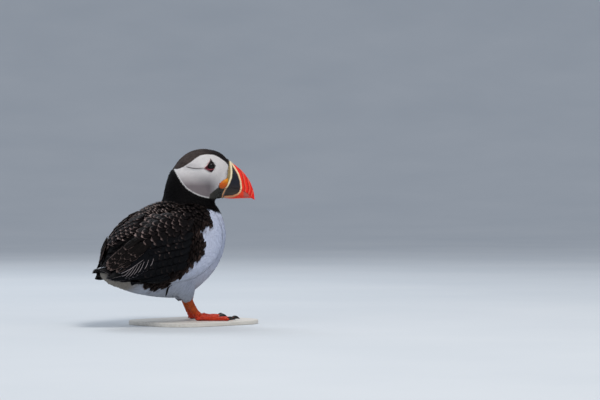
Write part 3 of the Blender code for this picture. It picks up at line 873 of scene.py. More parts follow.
# A smoother cover over the same flesh says how feathers lie, and large feathers are laid on it.
cover = remeshed(joined_solids(FLESH, COVER_FORM), COVER_FORM)
cover_tree = tree_of(cover)
cover_flow = lie_of_coat(cover)
cover_places = kd_tree(points_of(cover))
cover_normals = points_of(cover, "normal")

paint(skin, marking(skin_points, skin_kinds))
piece_of("skin", skin, DOWN, "black_feathers", FLESH)


# ---------------------------------------------------------------- small feathers
# Tract: spacing, length and half width in mm, tip's height in mm, arch across, turn at random,
# how much one feather differs from the next, look and slot.
BLACKS = (BLACK_FEATHER, "black_feathers")
COATS = {
    FACE: (0.82, 2.6, 0.50, 0.75, 0.25, 0.08, 0.04, FACE_FEATHER, "face_feathers"),
    CHIN: (0.90, 2.5, 0.50, 0.75, 0.25, 0.10, 0.12, FACE_FEATHER, "face_feathers"),
    CAP: (0.95, 3.0, 0.56, 0.9, 0.25, 0.08, 0.14, *BLACKS),
    NECK: (1.25, 4.6, 0.85, 1.2, 0.3, 0.08, 0.12, *BLACKS),
    MANTLE: (2.9, 7.0, 2.5, 1.7, 0.14, 0.10, 0.15, SCALY_FEATHER, "black_feathers"),
    WING: (3.8, 11.0, 3.5, 1.3, 0.12, 0.05, 0.10, *BLACKS),
    BREAST: (1.62, 8.5, 1.4, 0.65, 0.08, 0.05, 0.03, WHITE_FEATHER, "white_feathers"),
    FLANK: (2.5, 9.0, 2.0, 2.0, 0.25, 0.16, 0.3, *BLACKS),
    RUMP: (3.4, 9.5, 3.2, 1.3, 0.12, 0.05, 0.10, *BLACKS),
    VENT: (1.9, 10.0, 1.7, 0.9, 0.10, 0.06, 0.03, WHITE_FEATHER, "white_feathers"),
}
ROUNDED = (MANTLE, WING, RUMP)  # tracts of broad, round-ended feathers
SOFT = (FACE, NECK, BREAST, VENT)  # tracts whose feathers merge into one smooth surface
ON_HEAD = (FACE, CHIN, CAP, NECK)  # tracts whose markings have clean edges
FRAYED = {FLANK: 9.0, BREAST: 3.0}  # how far in brown tips reach from the edge of the white, mm


def cover_at(places, field):
    """A field of the smooth cover near each place, from its three nearest points."""
    found = np.zeros_like(places)
    for i, place in enumerate(places):
        for _, number, away in cover_places.find_n(Vector(place), 3):
            found[i] += field[number] / (away + 0.3 * MM)
    return unit(found)


def normals_out(places, y):
    """How much the skin at each place faces away from the middle plane."""
    facing = np.array([skin_tree.find_nearest(Vector(place))[1][1] for place in places])
    return facing * np.sign(y)


def edged_on_head(points, colours):
    """On the head the markings' edges run clean across the feathers."""
    up = head_mm(points)[:, 2]
    kinds = tracts(points)
    head = (up > 119) & np.isin(kinds, ON_HEAD)
    return np.where(head[:, None], marking(points, kinds), colours)


# Where the shoulder shield and the flight feathers cover the wing, along the bill's line and up.
SHIELD_AREA = ((-24, 97), (-36, 92), (-42, 84), (-40, 72), (-34, 67), (-20, 67), (-6, 72), (2, 84), (-6, 96))
FLIGHT_AREA = ((-24, 72), (-42, 80), (-64, 62), (-76, 52), (-76, 38), (-40, 37), (-18, 41), (-13, 50),
               (-12, 62))
RUFF = 1.4  # how far the mantle's front feathers stand up against the neck, mm


def bare(roots, flows, reach):
    """Which roots stay clear: round the eyes, under large feathers and past the tail's root."""
    clear = np.zeros(len(roots), dtype=bool)
    for share in (0.0, 0.45, 0.9):
        ahead, side, up = head_mm(roots + flows * (reach * share)[:, None]).T
        clear |= inside(ORBIT, ahead, up) & (np.abs(side) > 8)
    x, y, z = body_mm(roots).T
    along, high = side_mm(roots)
    on_side = (np.abs(y) > 14) & (normals_out(roots, y) > 0.15)
    for area in (SHIELD_AREA, FLIGHT_AREA):
        clear |= inside(area, along, high) & on_side
    return clear | ((x < -87) & (z > 40) & (np.abs(y) > 9)) | (x <= -92)


def small_feathers():
    """Scatters the coat over the skin and lays it tract by tract."""
    narrow = vane_shape(4, 2, 0.45, 0.55)
    rounded = vane_shape(6, 4, 0.5, 0.45, 0.1)
    spacings = [COATS[kind][0] for kind in range(len(TRACTS))]
    roots, picked, weights = scatter(skin_points, triangles_of(skin), skin_kinds, spacings)
    flows = cover_at(roots, cover_flow)
    patches = (skin_uv[picked] * weights[:, :, None]).sum(axis=1)
    reach = np.array([COATS[kind][1] for kind in tracts(roots)]) * MM
    kinds = tracts(roots + flows * (reach * 0.45)[:, None])
    keep = ~bare(roots, flows, reach)
    for kind, (_, length, half, tip, arch, turn, differ, look, slot) in COATS.items():
        chosen = np.nonzero((kinds == kind) & keep)[0]
        shape = rounded if kind in ROUNDED else narrow
        root = roots[chosen]
        count = len(chosen)
        normals = np.array([skin_tree.find_nearest(Vector(place))[1] for place in root])
        flow = along_surface(flows[chosen], normals)
        angle = RNG.normal(0, turn, count)[:, None]
        flow = unit(flow * np.cos(angle) + np.cross(normals, flow) * np.sin(angle))
        middles, ups = walked_lines(skin_tree, root, flow, length * MM * vary(count, 0.15), shape)
        x, _, z = body_mm(root).T
        ruff = RUFF * ramp(x, -34, -22) * (kind == MANTLE) * (z > 108)
        placed = vanes_on(middles, ups, shape, half * MM * vary(count, 0.12), (0.1 + ruff * 0.6) * MM,
                          (tip * vary(count, 0.25) + ruff) * MM, arch * vary(count, 0.2),
                          SMALL_THICK * MM)
        colours = marking(root, kinds[chosen]) * vary(count, differ)[:, None]
        if kind in FRAYED:
            border = np.abs(off_line(BREAST_LINE, *side_mm(root)))
            frayed = ramp(border, FRAYED[kind], 0) * RNG.random(count) ** 1.5 * 0.8
            colours = blend(colours, EDGE_TONE, frayed)
        if kind in ON_HEAD:
            each = placed.shape[1]
            colours = edged_on_head(placed.reshape(-1, 3), np.repeat(colours, each, axis=0))
        worn = RNG.uniform(0.2, 0.8, count)
        if kind == MANTLE:
            worn = worn * np.interp(side_mm(root)[0], (-6, 8), (1.1, 0.2))
        lie = cover_at(middles[:, middles.shape[1] // 2], cover_normals) if kind in SOFT else None
        feather_piece("coat_" + TRACTS[kind], placed, shape, colours, patches[chosen], look, slot, worn,
                      lie=lie)


# ---------------------------------------------------------------- large feathers of the back, wings and tail


def seen(along, up, tree):
    """The point of the right-hand side found looking across the bill's line at this place."""
    middle = BODY_ZERO + HEAD_AHEAD * (along * MM) + Vector((0, 0, up * MM))
    line = HEAD_SIDE - Vector((0, 0, SIDE_SLOPE))
    hit = tree.ray_cast(middle - line * 0.2, line.normalized())
    return np.array(hit[0] if hit[0] is not None else tree.find_nearest(middle)[0])


def across(place, side):
    """The same place on the other side of the bird where side is 1."""
    return place * np.array((1, -side, 1))


def large_feathers(name, rows, look, shape, colour=SLATE, thick=LARGE_THICK, bow=0.0, loose=0.0, tree=None,
                   left_drawn=(0, 0, 0), sides=(-1, 1)):
    """Rows of (root along, up, tip along, up, half width, root height, tip height, worn edge), both sides."""
    tree = tree or cover_tree
    roots, tips, sizes = [], [], []
    for side in sides:
        for row in rows:
            roots.append(across(seen(*row[:2], tree), side))
            tips.append(across(seen(*row[2:4], tree), side) + np.array(left_drawn) * MM * (side > 0))
            sizes.append(row[4:8])
    half, low, high, worn = np.array(sizes).T
    middles, ups = spanned_lines(tree, np.array(roots), np.array(tips), bow * MM, shape, loose)
    count = len(roots)
    placed = vanes_on(middles, ups, shape, half * MM * vary(count, 0.04), low * MM, high * MM, 0.10,
                      thick * MM)
    colours = colour * vary(count, 0.12)[:, None]
    patches, size = sheet_patches(count)
    worn = worn * vary(count, 0.2)
    feather_piece(name, placed, shape, colours, patches, look, "black_feathers", worn, size)


def scapular_rows():
    """The shield of shoulder feathers: rows of tips drawn in from its outer edge towards the shoulder."""
    edge = ((-30, 103), (-38, 96), (-43.2, 86), (-45, 78.5), (-41.5, 68.6), (-35, 63.6), (-22, 63.6),
            (-8, 67))
    pivot = np.array((16.0, 104.0))
    # For each level: how far it is drawn in, its feathers' length, half width and number, and its wear.
    levels = ((0.0, 15, 4.4, 12, 1.0), (0.12, 14, 4.2, 11, 0.75), (0.24, 13, 3.9, 10, 0.6),
              (0.36, 12, 3.6, 9, 0.5), (0.48, 11, 3.2, 8, 0.45), (0.59, 10, 2.9, 7, 0.45),
              (0.70, 9, 2.6, 6, 0.45))
    rows = []
    for level, (draw, length, half, count, wear) in enumerate(levels):
        for i in range(count):
            t = (i + 0.5 * (level % 2) + RNG.uniform(-0.12, 0.12)) / (count - 0.5)
            tip = part_way(between(edge, t), pivot, draw)
            root = tip + unit(pivot - tip) * length
            worn = wear * (1.0 if t < 0.65 else 0.25) * RNG.uniform(0.5, 1.0)
            rows.append((*root, *tip, half, 0.2 + 0.1 * level, 1.5 + 0.12 * level, worn))
    return rows


def lobe_rows():
    """Bleached feathers along the lower edge of the far shoulder, where it shows over the back."""
    edge = ((-77.2, 71.4), (-70, 74.4), (-62, 79.0), (-54, 83.6), (-46.5, 86.5))
    rows = []
    for level in range(4):
        for i in range(8):
            t = (i + 0.5 * (level % 2) + RNG.uniform(-0.12, 0.12)) / 7.5
            tip = between(edge, t) + np.array((1.4, 4.0)) * level
            root = tip + np.array((7.5, 6.5))
            high = 1.7 + 2.0 * max(0, 1 - 4 * t) * (level < 2)
            worn = (1.0 - 0.15 * level) * RNG.uniform(0.5, 1.0)
            rows.append((*root, *tip, 2.9, 0.3 + 0.1 * level, high, worn))
    return rows


def stacked(roots, tips, half, low, low_step, high, high_step, worn):
    """Rows of feathers one beside the next, each a step higher or lower than the last."""
    return [(*root, *tip, half, low + low_step * i, high + high_step * i, worn)
            for i, (root, tip) in enumerate(zip(roots, tips))]


def fan_rows():
    """Inner flight feathers that fan out from under the shoulder shield, the uppermost on top."""
    tips = ((-60, 47.5), (-57, 45), (-53.5, 43.5), (-50, 43), (-46, 44), (-42, 46), (-36, 49), (-30, 52.5))
    roots = ((-30, 71), (-29, 70.5), (-27.5, 70), (-26, 70), (-24, 70), (-21.5, 70), (-18.5, 70), (-15, 70))
    return stacked(roots, tips, 3.1, 1.9, -0.1, 2.4, -0.15, 0.4)


def fan_edge_rows():
    """The thin pale edge of each inner flight feather."""
    roots = ((-36, 60.2), (-48, 51.8), (-44.5, 53.6), (-41.2, 55.4), (-38, 57), (-35, 58.4), (-31, 60.2),
             (-26.5, 61.4))
    tips = ((-58, 47), (-56.5, 45), (-53, 44.6), (-49.3, 44.8), (-45.3, 46.2), (-40.8, 48.2), (-34.8, 51.6),
            (-29.2, 54.5))
    return stacked(roots, tips, 0.26, 3.1, 0.0, 2.7, -0.05, 0.0)


def tertial_rows(draw):
    """Long inner wing feathers below the shield, with shorter coverts over their roots."""
    tips = np.array(((-70.5, 55.5), (-71, 53), (-69.5, 50.5), (-66.5, 48.5), (-62, 48))) + draw
    roots = np.array(((-42, 79.5), (-40, 77), (-38, 74.5), (-35.5, 73), (-33, 72)))
    rows = stacked(roots, tips, 3.9, 2.2, -0.1, 2.8, -0.1, 0.5)
    for share, half, high in ((0.78, 3.3, 3.0), (0.58, 3.2, 3.3), (0.38, 3.0, 3.6)):
        for i, (root, tip) in enumerate(zip(roots, tips)):
            end = part_way(root, tip, share + RNG.uniform(-0.05, 0.05)) + (0, i % 2 * 1.2)
            start = end - (tip - root) * 0.42
            rows.append((*start, *end, half, high - 0.6, high - 0.1 * i, RNG.uniform(0.2, 0.55)))
    return rows


def primary_rows():
    """The longest flight feathers, stacked along the wing's lower edge."""
    tips = ((-60, 40.2), (-65, 40.8), (-69, 41.8), (-72, 43.2), (-71, 45.2), (-71, 48.0), (-70, 51.0),
            (-69, 54.0))
    roots = ((-10, 43.5), (-12, 46.5), (-14, 49.5), (-16, 52.5), (-18, 55.5), (-22, 60), (-28, 66), (-34, 72))
    return stacked(roots, tips, 3.0, 0.6, 0.15, 0.7, 0.15, 0.5)


def covert_rows():
    """Smooth slate coverts between the shield, the flank and the flight feathers."""
    rows = []
    for level in range(5):
        for i in range(7):
            root = np.array((12.0 - 5.2 * i - 1.5 * level, 86.0 - 7.0 * level - 1.2 * i))
            tip = root + np.array((-9.5, -6.5))
            rows.append((*root, *tip, 3.7, 1.0, 2.1 - 0.15 * level, RNG.uniform(0.0, 0.05)))
    return rows


BLADE_LAP = 0.24  # how far each blade lies above the next one out, mm


def blades(name, count, start, end, wide, half, up, drop, look, slot, colour, edge, replaces=()):
    """A fan of blades laid one over the next along the tail, the middle ones on top.

    Start and end are (along, up) of the middle blade; wide is the fan's half width at both ends, and
    drop how far its sides curve down, all in mm.
    """
    shape = vane_shape(8, 4, 0.5, 0.5, 0.4)
    middles, ups = empty_lines(count, shape)
    ups[:, :, 2] = up
    centre = (count - 1) / 2
    height = np.zeros(count)
    for i in range(count):
        lean = (i - centre) / centre
        for k, s in enumerate(shape["stations"]):
            x = part_way(start[0], end[0] + abs(lean) ** 1.5 * 5, s)
            z = part_way(start[1], end[1], s) - up * drop * lean ** 2 * (0.4 + 0.6 * s)
            middles[i, k] = body_point(x, lean * part_way(*wide, s), z)
        ups[i, :, 1] = lean * 0.45
        height[i] = (centre - abs(i - centre)) * BLADE_LAP * MM + (i > centre) * 0.1 * MM
    placed = vanes_on(middles, ups, shape, half * MM, height, height, 0.1, BLADE_THICK * MM)
    colours = colour * vary(count, 0.12)[:, None]
    patches, size = sheet_patches(count)
    feather_piece(name, placed, shape, colours, patches, look, slot, np.full(count, edge), size, replaces)


def tail_streak():
    """The pale edge of a feather that lies across the tail's root."""
    shape = vane_shape(8, 2, 0.3, 0.5, 0.3)
    middles, ups = empty_lines(1, shape)
    start, end = np.array(body_point(-96, -6.5, 56.4)), np.array(body_point(-98.5, 8.0, 53.6))
    for k, s in enumerate(shape["stations"]):
        middles[0, k] = part_way(start, end, s) + (0, 0, 0.2 * MM * math.sin(math.pi * s))
    ups[:] = np.array(HEAD_SIDE) * -0.9 + (0, 0, 0.9)
    placed = vanes_on(middles, ups, shape, 0.8 * MM, 0.0, 0.0, 0.1, 0.3 * MM)
    patches, size = sheet_patches(1)
    feather_piece("tail_streak", placed, shape, linear("#d4d6dc")[None], patches, WHITE_FEATHER,
                  "white_feathers", None, size)


def tail_feathers():
    """The short rounded tail, with pale coverts under it and black ones over its root."""
    blades("tail_feathers", 12, (-74, 53.8), (-106.5, 52.4), (7, 12.0), 3.4, 1, 3.0, FLIGHT,
           "black_feathers", BLACK, 0.35, ("tail",))
    # The pale coverts under the tail carry the vent's painted shade.
    blades("undertail_coverts", 9, (-70, 45.5), (-94, 48.6), (6, 9.0), 3.2, -1, 2.4, WHITE_FEATHER,
           "white_feathers", VENT_SHADE, 0.0)
    blades("uppertail_coverts", 7, (-70, 58.0), (-94, 55.2), (7, 9), 3.4, 1, 3.5, BLACK_FEATHER,
           "black_feathers", BLACK * 0.8, 0.0)


# ---------------------------------------------------------------- bill
CULMEN = ((28.5, 160.8), (33.6, 159.0), (39.2, 155.1), (44.6, 150.8), (49.4, 145.6),
          (53.4, 139.9), (56.4, 133.5), (58.2, 127.0), (58.9, 120.4))
GAPE = ((25.5, 130.4), (30.0, 131.4), (35.0, 131.9), (40.0, 131.4), (45.0, 130.0),
        (49.6, 127.8), (53.2, 125.2), (56.0, 122.6), (58.2, 120.2))
GONYS = ((23.5, 123.4), (28.0, 122.0), (33.0, 121.4), (38.0, 121.3), (43.0, 121.5),
         (47.5, 121.7), (51.0, 121.8), (53.6, 121.8), (55.2, 122.0))
BILL_HALF_WIDTHS = (8.6, 8.3, 7.4, 6.5, 5.5, 4.5, 3.5, 2.4, 1.0)
TUCKED = 0.3  # how far the lower mandible's edge lies inside the upper one, mm
BASE_RIDGE_HIGH, V_RIDGE_HIGH, PLATE_DEEP = 0.75, 0.45, 0.2  # relief of the bill's sides, mm
GROOVES = ((3.4, 0.5), (7.4, 0.5), (10.9, 0.4))  # how far each lies ahead of the V, and half its width, mm
GROOVE_DEEP, GROOVE_LIP = 0.38, 0.22  # and its depth and the height of the lip ahead of it, mm
BASE_RIDGE = ((33.0, 164.0), (33.8, 158.5), (34.6, 153.0), (34.9, 148.0), (34.4, 142.5), (32.4, 137.2),
              (28.9, 131.2), (26.6, 125.8), (25.6, 119.0))  # middle of the cream ridge at the bill's base
V_RIDGE = ((33.8, 164.0), (35.6, 157.2), (38.9, 152.0), (42.4, 146.0), (44.6, 139.0), (45.3, 132.0),
           (44.4, 128.5), (41.9, 125.7), (36.9, 123.7), (27.9, 123.2), (22.0, 123.0))


def off_mouth(ahead, up):
    """How far above the line of the mouth each point is, in millimetres."""
    return up - np.interp(ahead, *np.array(GAPE).T)


def soft(away, half, edge):
    """1 within half of a line, fading out across its edge."""
    return np.clip((half - np.abs(away)) / edge + 0.5, 0, 1)


def bill_face(points):
    """Relief in millimetres and colour of the bill's sides, from the lines of its plates."""
    ahead, side, up = head_mm(points).T
    base = off_line(BASE_RIDGE, ahead, up)
    ridge = off_line(V_RIDGE, ahead, up)
    past = -ridge  # ahead of the V
    mouth = off_mouth(ahead, up)
    lower = mouth < 0
    plate = (past < -0.8) & (base < 0)
    groove = np.zeros(len(ahead))
    lip = np.zeros(len(ahead))
    for place, half in GROOVES:
        bend = past - place - 0.35 * np.sin(up * 0.35)
        groove += soft(bend, half, 0.5) * (past > 0) * ~lower
        lip += soft(bend - 1.0, 0.5, 0.6) * (past > 0) * ~lower
    relief = (BASE_RIDGE_HIGH * soft(base, 1.5, 1.0) + V_RIDGE_HIGH * soft(ridge, 0.8, 0.7)
              - PLATE_DEEP * plate - GROOVE_DEEP * groove + GROOVE_LIP * lip)
    # The red front, warmer near the V and below, darker in its grooves with painted shade and paler along
    # their lips.
    warm = ramp(np.abs(side), 1.2, 4.4) * ramp(past, 9.9, 0.9)
    colour = blend("#f41d0e", "#ee3c13", warm * 0.5 + 0.6 * lower)
    colour = blend(colour, "#b0140b", groove * 0.75)
    colour = blend(colour, "#e9694a", lip * 0.7)
    tip = soft(ahead - 50.5, 2.8, 2.0) * lower * ramp(up, 121.6, 123.6)
    colour = blend(colour, "#a8625a", tip * 0.8)
    # The slate plate, browner towards the mouth.
    slate = blend("#191a24", "#2f2620", ramp(up, 137, 128))
    slate = blend(slate, "#4a4034", ramp(up, 128, 124) * ramp(ahead, 32, 38))
    colour = np.where(plate[:, None], slate, colour)
    # The cream V and the ridge at the base, both turning tan low down.
    cream = blend("#f1d8ab", "#cf9768", ramp(up, 131, 125))
    colour = blend(colour, cream, soft(ridge, 0.72, 0.45))
    low = ramp(up, 134, 130)
    rim = blend("#a08a5e", CHIN_GREY, low)
    colour = blend(colour, rim, soft(base, 1.7, 0.4) + (base > 0))
    line = blend("#eedfba", "#cf9468", low)
    colour = blend(colour, line, soft(base + 0.55 - 0.35 * low, 0.85 - 0.25 * low, 0.35))
    # Painted shade darkens the line of the mouth, where the mandibles meet.
    colour = blend(colour, "#1c0f0c", ramp(np.abs(mouth), 0.30, 0.10) * (ahead > 27) * 0.7)
    return relief, colour


def mandible(name, top_line, low_line, keel):
    """One half of the bill, lofted between two lines; keel says which edge is narrow."""

    def place(turn, along):
        top = between(top_line, along)
        low = between(low_line, along)
        c, s = math.cos(turn * math.tau), math.sin(turn * math.tau)
        inner = max(0.0, -keel)  # 1 for the lower half, whose edge is boxed in to close on the upper one
        width = between(BILL_HALF_WIDTHS, along) * (1 - 0.02 * inner)
        middle, tall = (top + low) / 2, (top - low) / 2
        reach = math.copysign(abs(c) ** 0.8, c)
        taper = 1 - 0.55 * (1 + keel * c) / 2
        s = math.copysign(abs(s) ** (1 - 0.88 * max(0.0, -keel * c)), s)
        return head_point(middle[0] + tall[0] * reach, s * width * taper, middle[1] + tall[1] * reach)

    mesh = mesh_from(tube(150, 132, place))
    points = points_of(mesh)
    relief, colours = bill_face(points)
    ahead, side, up = head_mm(points).T
    # The relief dies out at the mouth, at the tip and over the rounded ridge of the bill.
    at_mouth = np.where(relief > 0, ramp(np.abs(off_mouth(ahead, up)), 0.1, 0.6), 1.0)
    relief = relief * at_mouth * np.clip((59.5 - ahead) / 4, 0.2, 1) * np.clip(np.abs(side) / 1.5, 0.45, 1)
    move_points(mesh, points + points_of(mesh, "normal") * (relief * MM)[:, None])
    paint(mesh, colours)
    piece_of(name + "_horn", mesh, HORN, "bill_horn", (name,))
    mesh.set_sharp_from_angle(angle=math.radians(38))


# ---------------------------------------------------------------- eyes, lids and gape


def head_surface(ahead, up, side):
    """How far out the feathered head reaches at this place, in millimetres."""
    start = head_point(ahead, side * 60, up)
    hit = outer_tree.ray_cast(start, -HEAD_SIDE * side)
    if hit[0] is None:
        return 8.0
    return abs(float(head_mm(np.array([hit[0]]))[0, 1]))


def outline_at(outline, turn):
    """A point of a closed outline, evenly by its length."""
    corners = np.array(closed(outline))
    spans = np.linalg.norm(np.diff(corners, axis=0), axis=1)
    gone = np.concatenate(((0,), np.cumsum(spans))) / spans.sum()
    return np.array((np.interp(turn, gone, corners[:, 0]), np.interp(turn, gone, corners[:, 1])))


GLASS = 0.97  # the glass eye's size beside its socket
PUPIL = 2.1  # radius, mm
LID_OPENING = 2.95  # radius, mm
LID_TUCK = 0.12  # share of the lids' way out that is turned in under the opening's edge


def eye(name, side):
    """A glass eye: brown iris and black pupil under a clear coat."""
    centre = box_middle(name)
    radius = EYE_RADIUS * GLASS
    ball = bmesh.new()
    bmesh.ops.create_uvsphere(ball, u_segments=48, v_segments=32, radius=radius,
                              matrix=Matrix.Translation(centre))
    tidy_normals(ball)
    mesh = mesh_from(ball)
    out = (points_of(mesh) - np.array(centre)) @ np.array(HEAD_SIDE) * side
    off = np.sqrt(np.maximum(radius ** 2 - out ** 2, 0)) / MM
    iris = np.where(out < 0, 1.0, (off - PUPIL) / 0.3)
    paint(mesh, blend("#060404", "#190d0b", iris))
    piece_of(name + "_glass", mesh, EYE_GLASS, "eye", (name,))


def lids(name, side):
    """Red lid ring, grey plates above and below, and the pale line round them."""
    centre = head_mm(np.array([box_middle(name)]))[0]
    ball = EYE_RADIUS / MM

    def place(turn, along):
        outer = outline_at(ORBIT, turn)
        angle = math.atan2(outer[1] - centre[2], outer[0] - centre[0])
        wide = LID_OPENING * (1.0 - 0.10 * abs(math.sin(angle)) ** 2)
        spot = np.array((centre[0] + wide * math.cos(angle), centre[2] + wide * math.sin(angle)))
        rim = abs(centre[1]) + math.sqrt(ball ** 2 - wide ** 2)  # where the eyeball stands at the opening
        if along < LID_TUCK:
            lift = rim - 0.5 * (1 - along / LID_TUCK)
        else:
            s = (along - LID_TUCK) / (1 - LID_TUCK)
            spot = part_way(spot, outer, s)
            flesh = head_surface(spot[0], spot[1], side)
            high = flesh - 0.15 + 0.35 * math.sin(math.pi * min(s * 1.6, 1.0))
            ease = min(s / 0.45, 1.0)
            ease = ease * ease * (3 - 2 * ease)
            lift = part_way(rim + 0.25, high, ease) - 0.5 * max(s - 0.85, 0) / 0.15
        return head_point(spot[0], side * lift, spot[1])

    bm = tube(64, 18, place, closed=False)
    facing = sum((face.normal * face.calc_area() for face in bm.faces), Vector())
    if facing.dot(HEAD_SIDE * side) < 0:
        bmesh.ops.reverse_faces(bm, faces=bm.faces)
    mesh = mesh_from(bm)
    ahead, _, up = head_mm(points_of(mesh)).T
    reach = np.hypot(ahead - centre[0], up - centre[2])
    border = np.abs(off_line(closed(ORBIT), ahead, up))
    # Dark plates, wine red behind and below, with the bright lid under the eye and a black rim.
    behind = ramp(ahead, 13.4, 11.8) * ramp(up, 158.5, 157.0) * ramp(up, 150.0, 151.2)
    colours = blend("#1b1316", "#4a0a18", behind)
    colours = blend(colours, "#360a12", ramp(up, 150.6, 149.8) * ramp(ahead, 17.5, 15.5))
    lid = np.clip(1.2 - np.abs(up - 150.5 - np.clip(ahead - 15.5, 0, 9) * 0.35) / 0.36, 0, 1)
    colours = blend(colours, "#aa2f48", lid * ramp(ahead, 18.2, 17.4))
    colours = blend(colours, "#0c0708", ramp(reach, 3.3, 3.0))
    # The pale line round the back of the plates.
    pale = ramp(border, 0.80, 0.45) * ramp(ahead, 14.4, 13.4)
    colours = blend(colours, "#e3bfbc", pale * np.maximum(ramp(up, 150.8, 152.3), 0.45))
    paint(mesh, colours)
    piece = piece_of(name + "_lids", mesh, LID_SKIN, "eye")
    wall = piece.modifiers.new("wall", "SOLIDIFY")
    wall.thickness = 0.3 * MM
    wall.offset = -1


ROSETTE = ((22.3, 134.0), (22.9, 136.4), (24.8, 138.6), (28.0, 140.4), (32.0, 142.0), (32.6, 138.8),
           (31.6, 135.4), (29.2, 132.2), (25.9, 131.2), (23.2, 132.0))


def rosette(side):
    """The folded yellow-orange skin at the corner of the mouth, in two soft lobes."""
    middle = np.array((27.6, 136.2))
    across_cheek = (23.5, 26.5, 29.0)
    under = [head_surface(ahead, up, side) for ahead, up in zip(across_cheek, (134.5, 135.5, 138.0))]

    def place(turn, along):
        spot = part_way(middle, outline_at(ROSETTE, turn), 0.02 + 0.98 * along)
        lobes = 0.5 + 0.5 * abs(math.sin((spot[0] - 22) * 0.55 + (spot[1] - 131) * 0.45))
        flesh = np.interp(spot[0], across_cheek, under) - 0.45 * max(spot[0] - across_cheek[-1], 0)
        lift = flesh - 0.9 + 1.9 * (1 - along ** 3) * (0.75 + 0.25 * lobes)
        return head_point(spot[0], side * lift, spot[1])

    mesh = mesh_from(tube(40, 14, place))
    ahead, _, up = head_mm(points_of(mesh)).T
    border = np.abs(off_line(closed(ROSETTE), ahead, up))
    colours = blend("#c4560a", "#dd8a14", ramp(up + (ahead - 28) * 0.4, 136, 140))
    # Painted shade darkens the crease between the two lobes.
    fold = np.clip(0.7 - np.abs(up - 135.6 - (ahead - 27) * 0.5) / 0.6, 0, 1)
    colours = blend(colours, "#94400a", fold * 0.7)
    colours = blend(colours, "#8f5a2c", ramp(border, 1.1, 0.2) * ramp(ahead, 25.5, 23.0) * 0.8)
    paint(mesh, colours)
    piece_of("rosette_" + SIDE_NAMES[side], mesh, GAPE_SKIN, "bill_horn")


def crease(side):
    """The fine fold that runs back from the eye, as a thin rod painted with the fold's shade."""

    def place(turn, along):
        spot = between(CREASE, along)
        lift = head_surface(spot[0], spot[1], side) - 0.28
        thin = 0.34 * math.sin(math.pi * min(max(along, 0.03), 0.97)) ** 0.4
        c, s = math.cos(turn * math.tau), math.sin(turn * math.tau)
        return head_point(spot[0], side * (lift + thin * s), spot[1] + thin * c)

    mesh = mesh_from(tube(8, 28, place))
    paint(mesh, CREASE_SHADE)
    piece_of("crease_" + SIDE_NAMES[side], mesh, LID_SKIN, "face_feathers")


# ---------------------------------------------------------------- legs and feet
KNEE, LEG_RADIUS = 3.0, 2.5  # half the length of shin hidden in the belly feathers, and its radius, mm
ANKLE, ANKLE_RADIUS = (-1.2, 0, 5.4), 3.9  # a round of flesh that fills the bend above the toes, mm
LEG_SPREAD = 17  # from the middle plane to each leg, mm
FOOT_AT = {-1: 10, 1: 30}  # toe root of the right (-1) and left (1) foot, mm along
TOE_OUT = {-1: math.radians(20), 1: math.radians(2)}  # how far each foot is turned outwards
TOES = ((-30, 30, 7.0), (-3, 36, 7.5), (24, 29, 7.0))  # spread in degrees, length and claw's length, mm
SCUTE_GAP, SCUTE_LONG, SCUTE_HALF, SCUTE_HIGH = 1.25, 1.75, 0.74, 0.26  # mm
LEG_ORANGE, TOE_RED, WEB_RED = linear("#c9551a"), linear("#d93a17"), linear("#bb2f17")
CLAW_BLACK = linear("#1c1817")


def foot_place(side, spread=0):
    """Where a foot's toes spring from, turned as the foot or as a toe spread by so many degrees."""
    place = Matrix.Translation(body_point(FOOT_AT[side], side * LEG_SPREAD, 0))
    foot, toe = (Matrix.Rotation(angle, 4, "Z") for angle in (side * TOE_OUT[side], math.radians(spread)))
    return place @ foot @ toe


def along_toes(points, side):
    """For each toe, how far every point is along it and beside it, and the toe's length, in millimetres."""
    rows = []
    for spread, length, _ in TOES:
        turn = np.array(foot_place(side, spread).inverted())
        local = (points @ turn[:3, :3].T + turn[:3, 3]) / MM
        rows.append((local[:, 0], local[:, 1], length))
    return rows


def leg_colours(points, side):
    """Tarsus orange, toes redder, webs darker and claws black; and where the claws are."""
    z = body_mm(points)[:, 2]
    web = np.ones(len(points))
    claw = np.zeros(len(points))
    for ahead, aside, length in along_toes(points, side):
        web = np.minimum(web, ramp(np.abs(aside), 2.2, 3.2))
        claw = np.maximum(claw, (ahead > length - 0.4) * (np.abs(aside) < 3))
    low = ramp(z, 5, 3)
    colours = blend(TOE_RED, LEG_ORANGE, ramp(z, 4, 12))
    colours = blend(colours, WEB_RED, web * low)
    return blend(colours, CLAW_BLACK, claw * low), claw * low


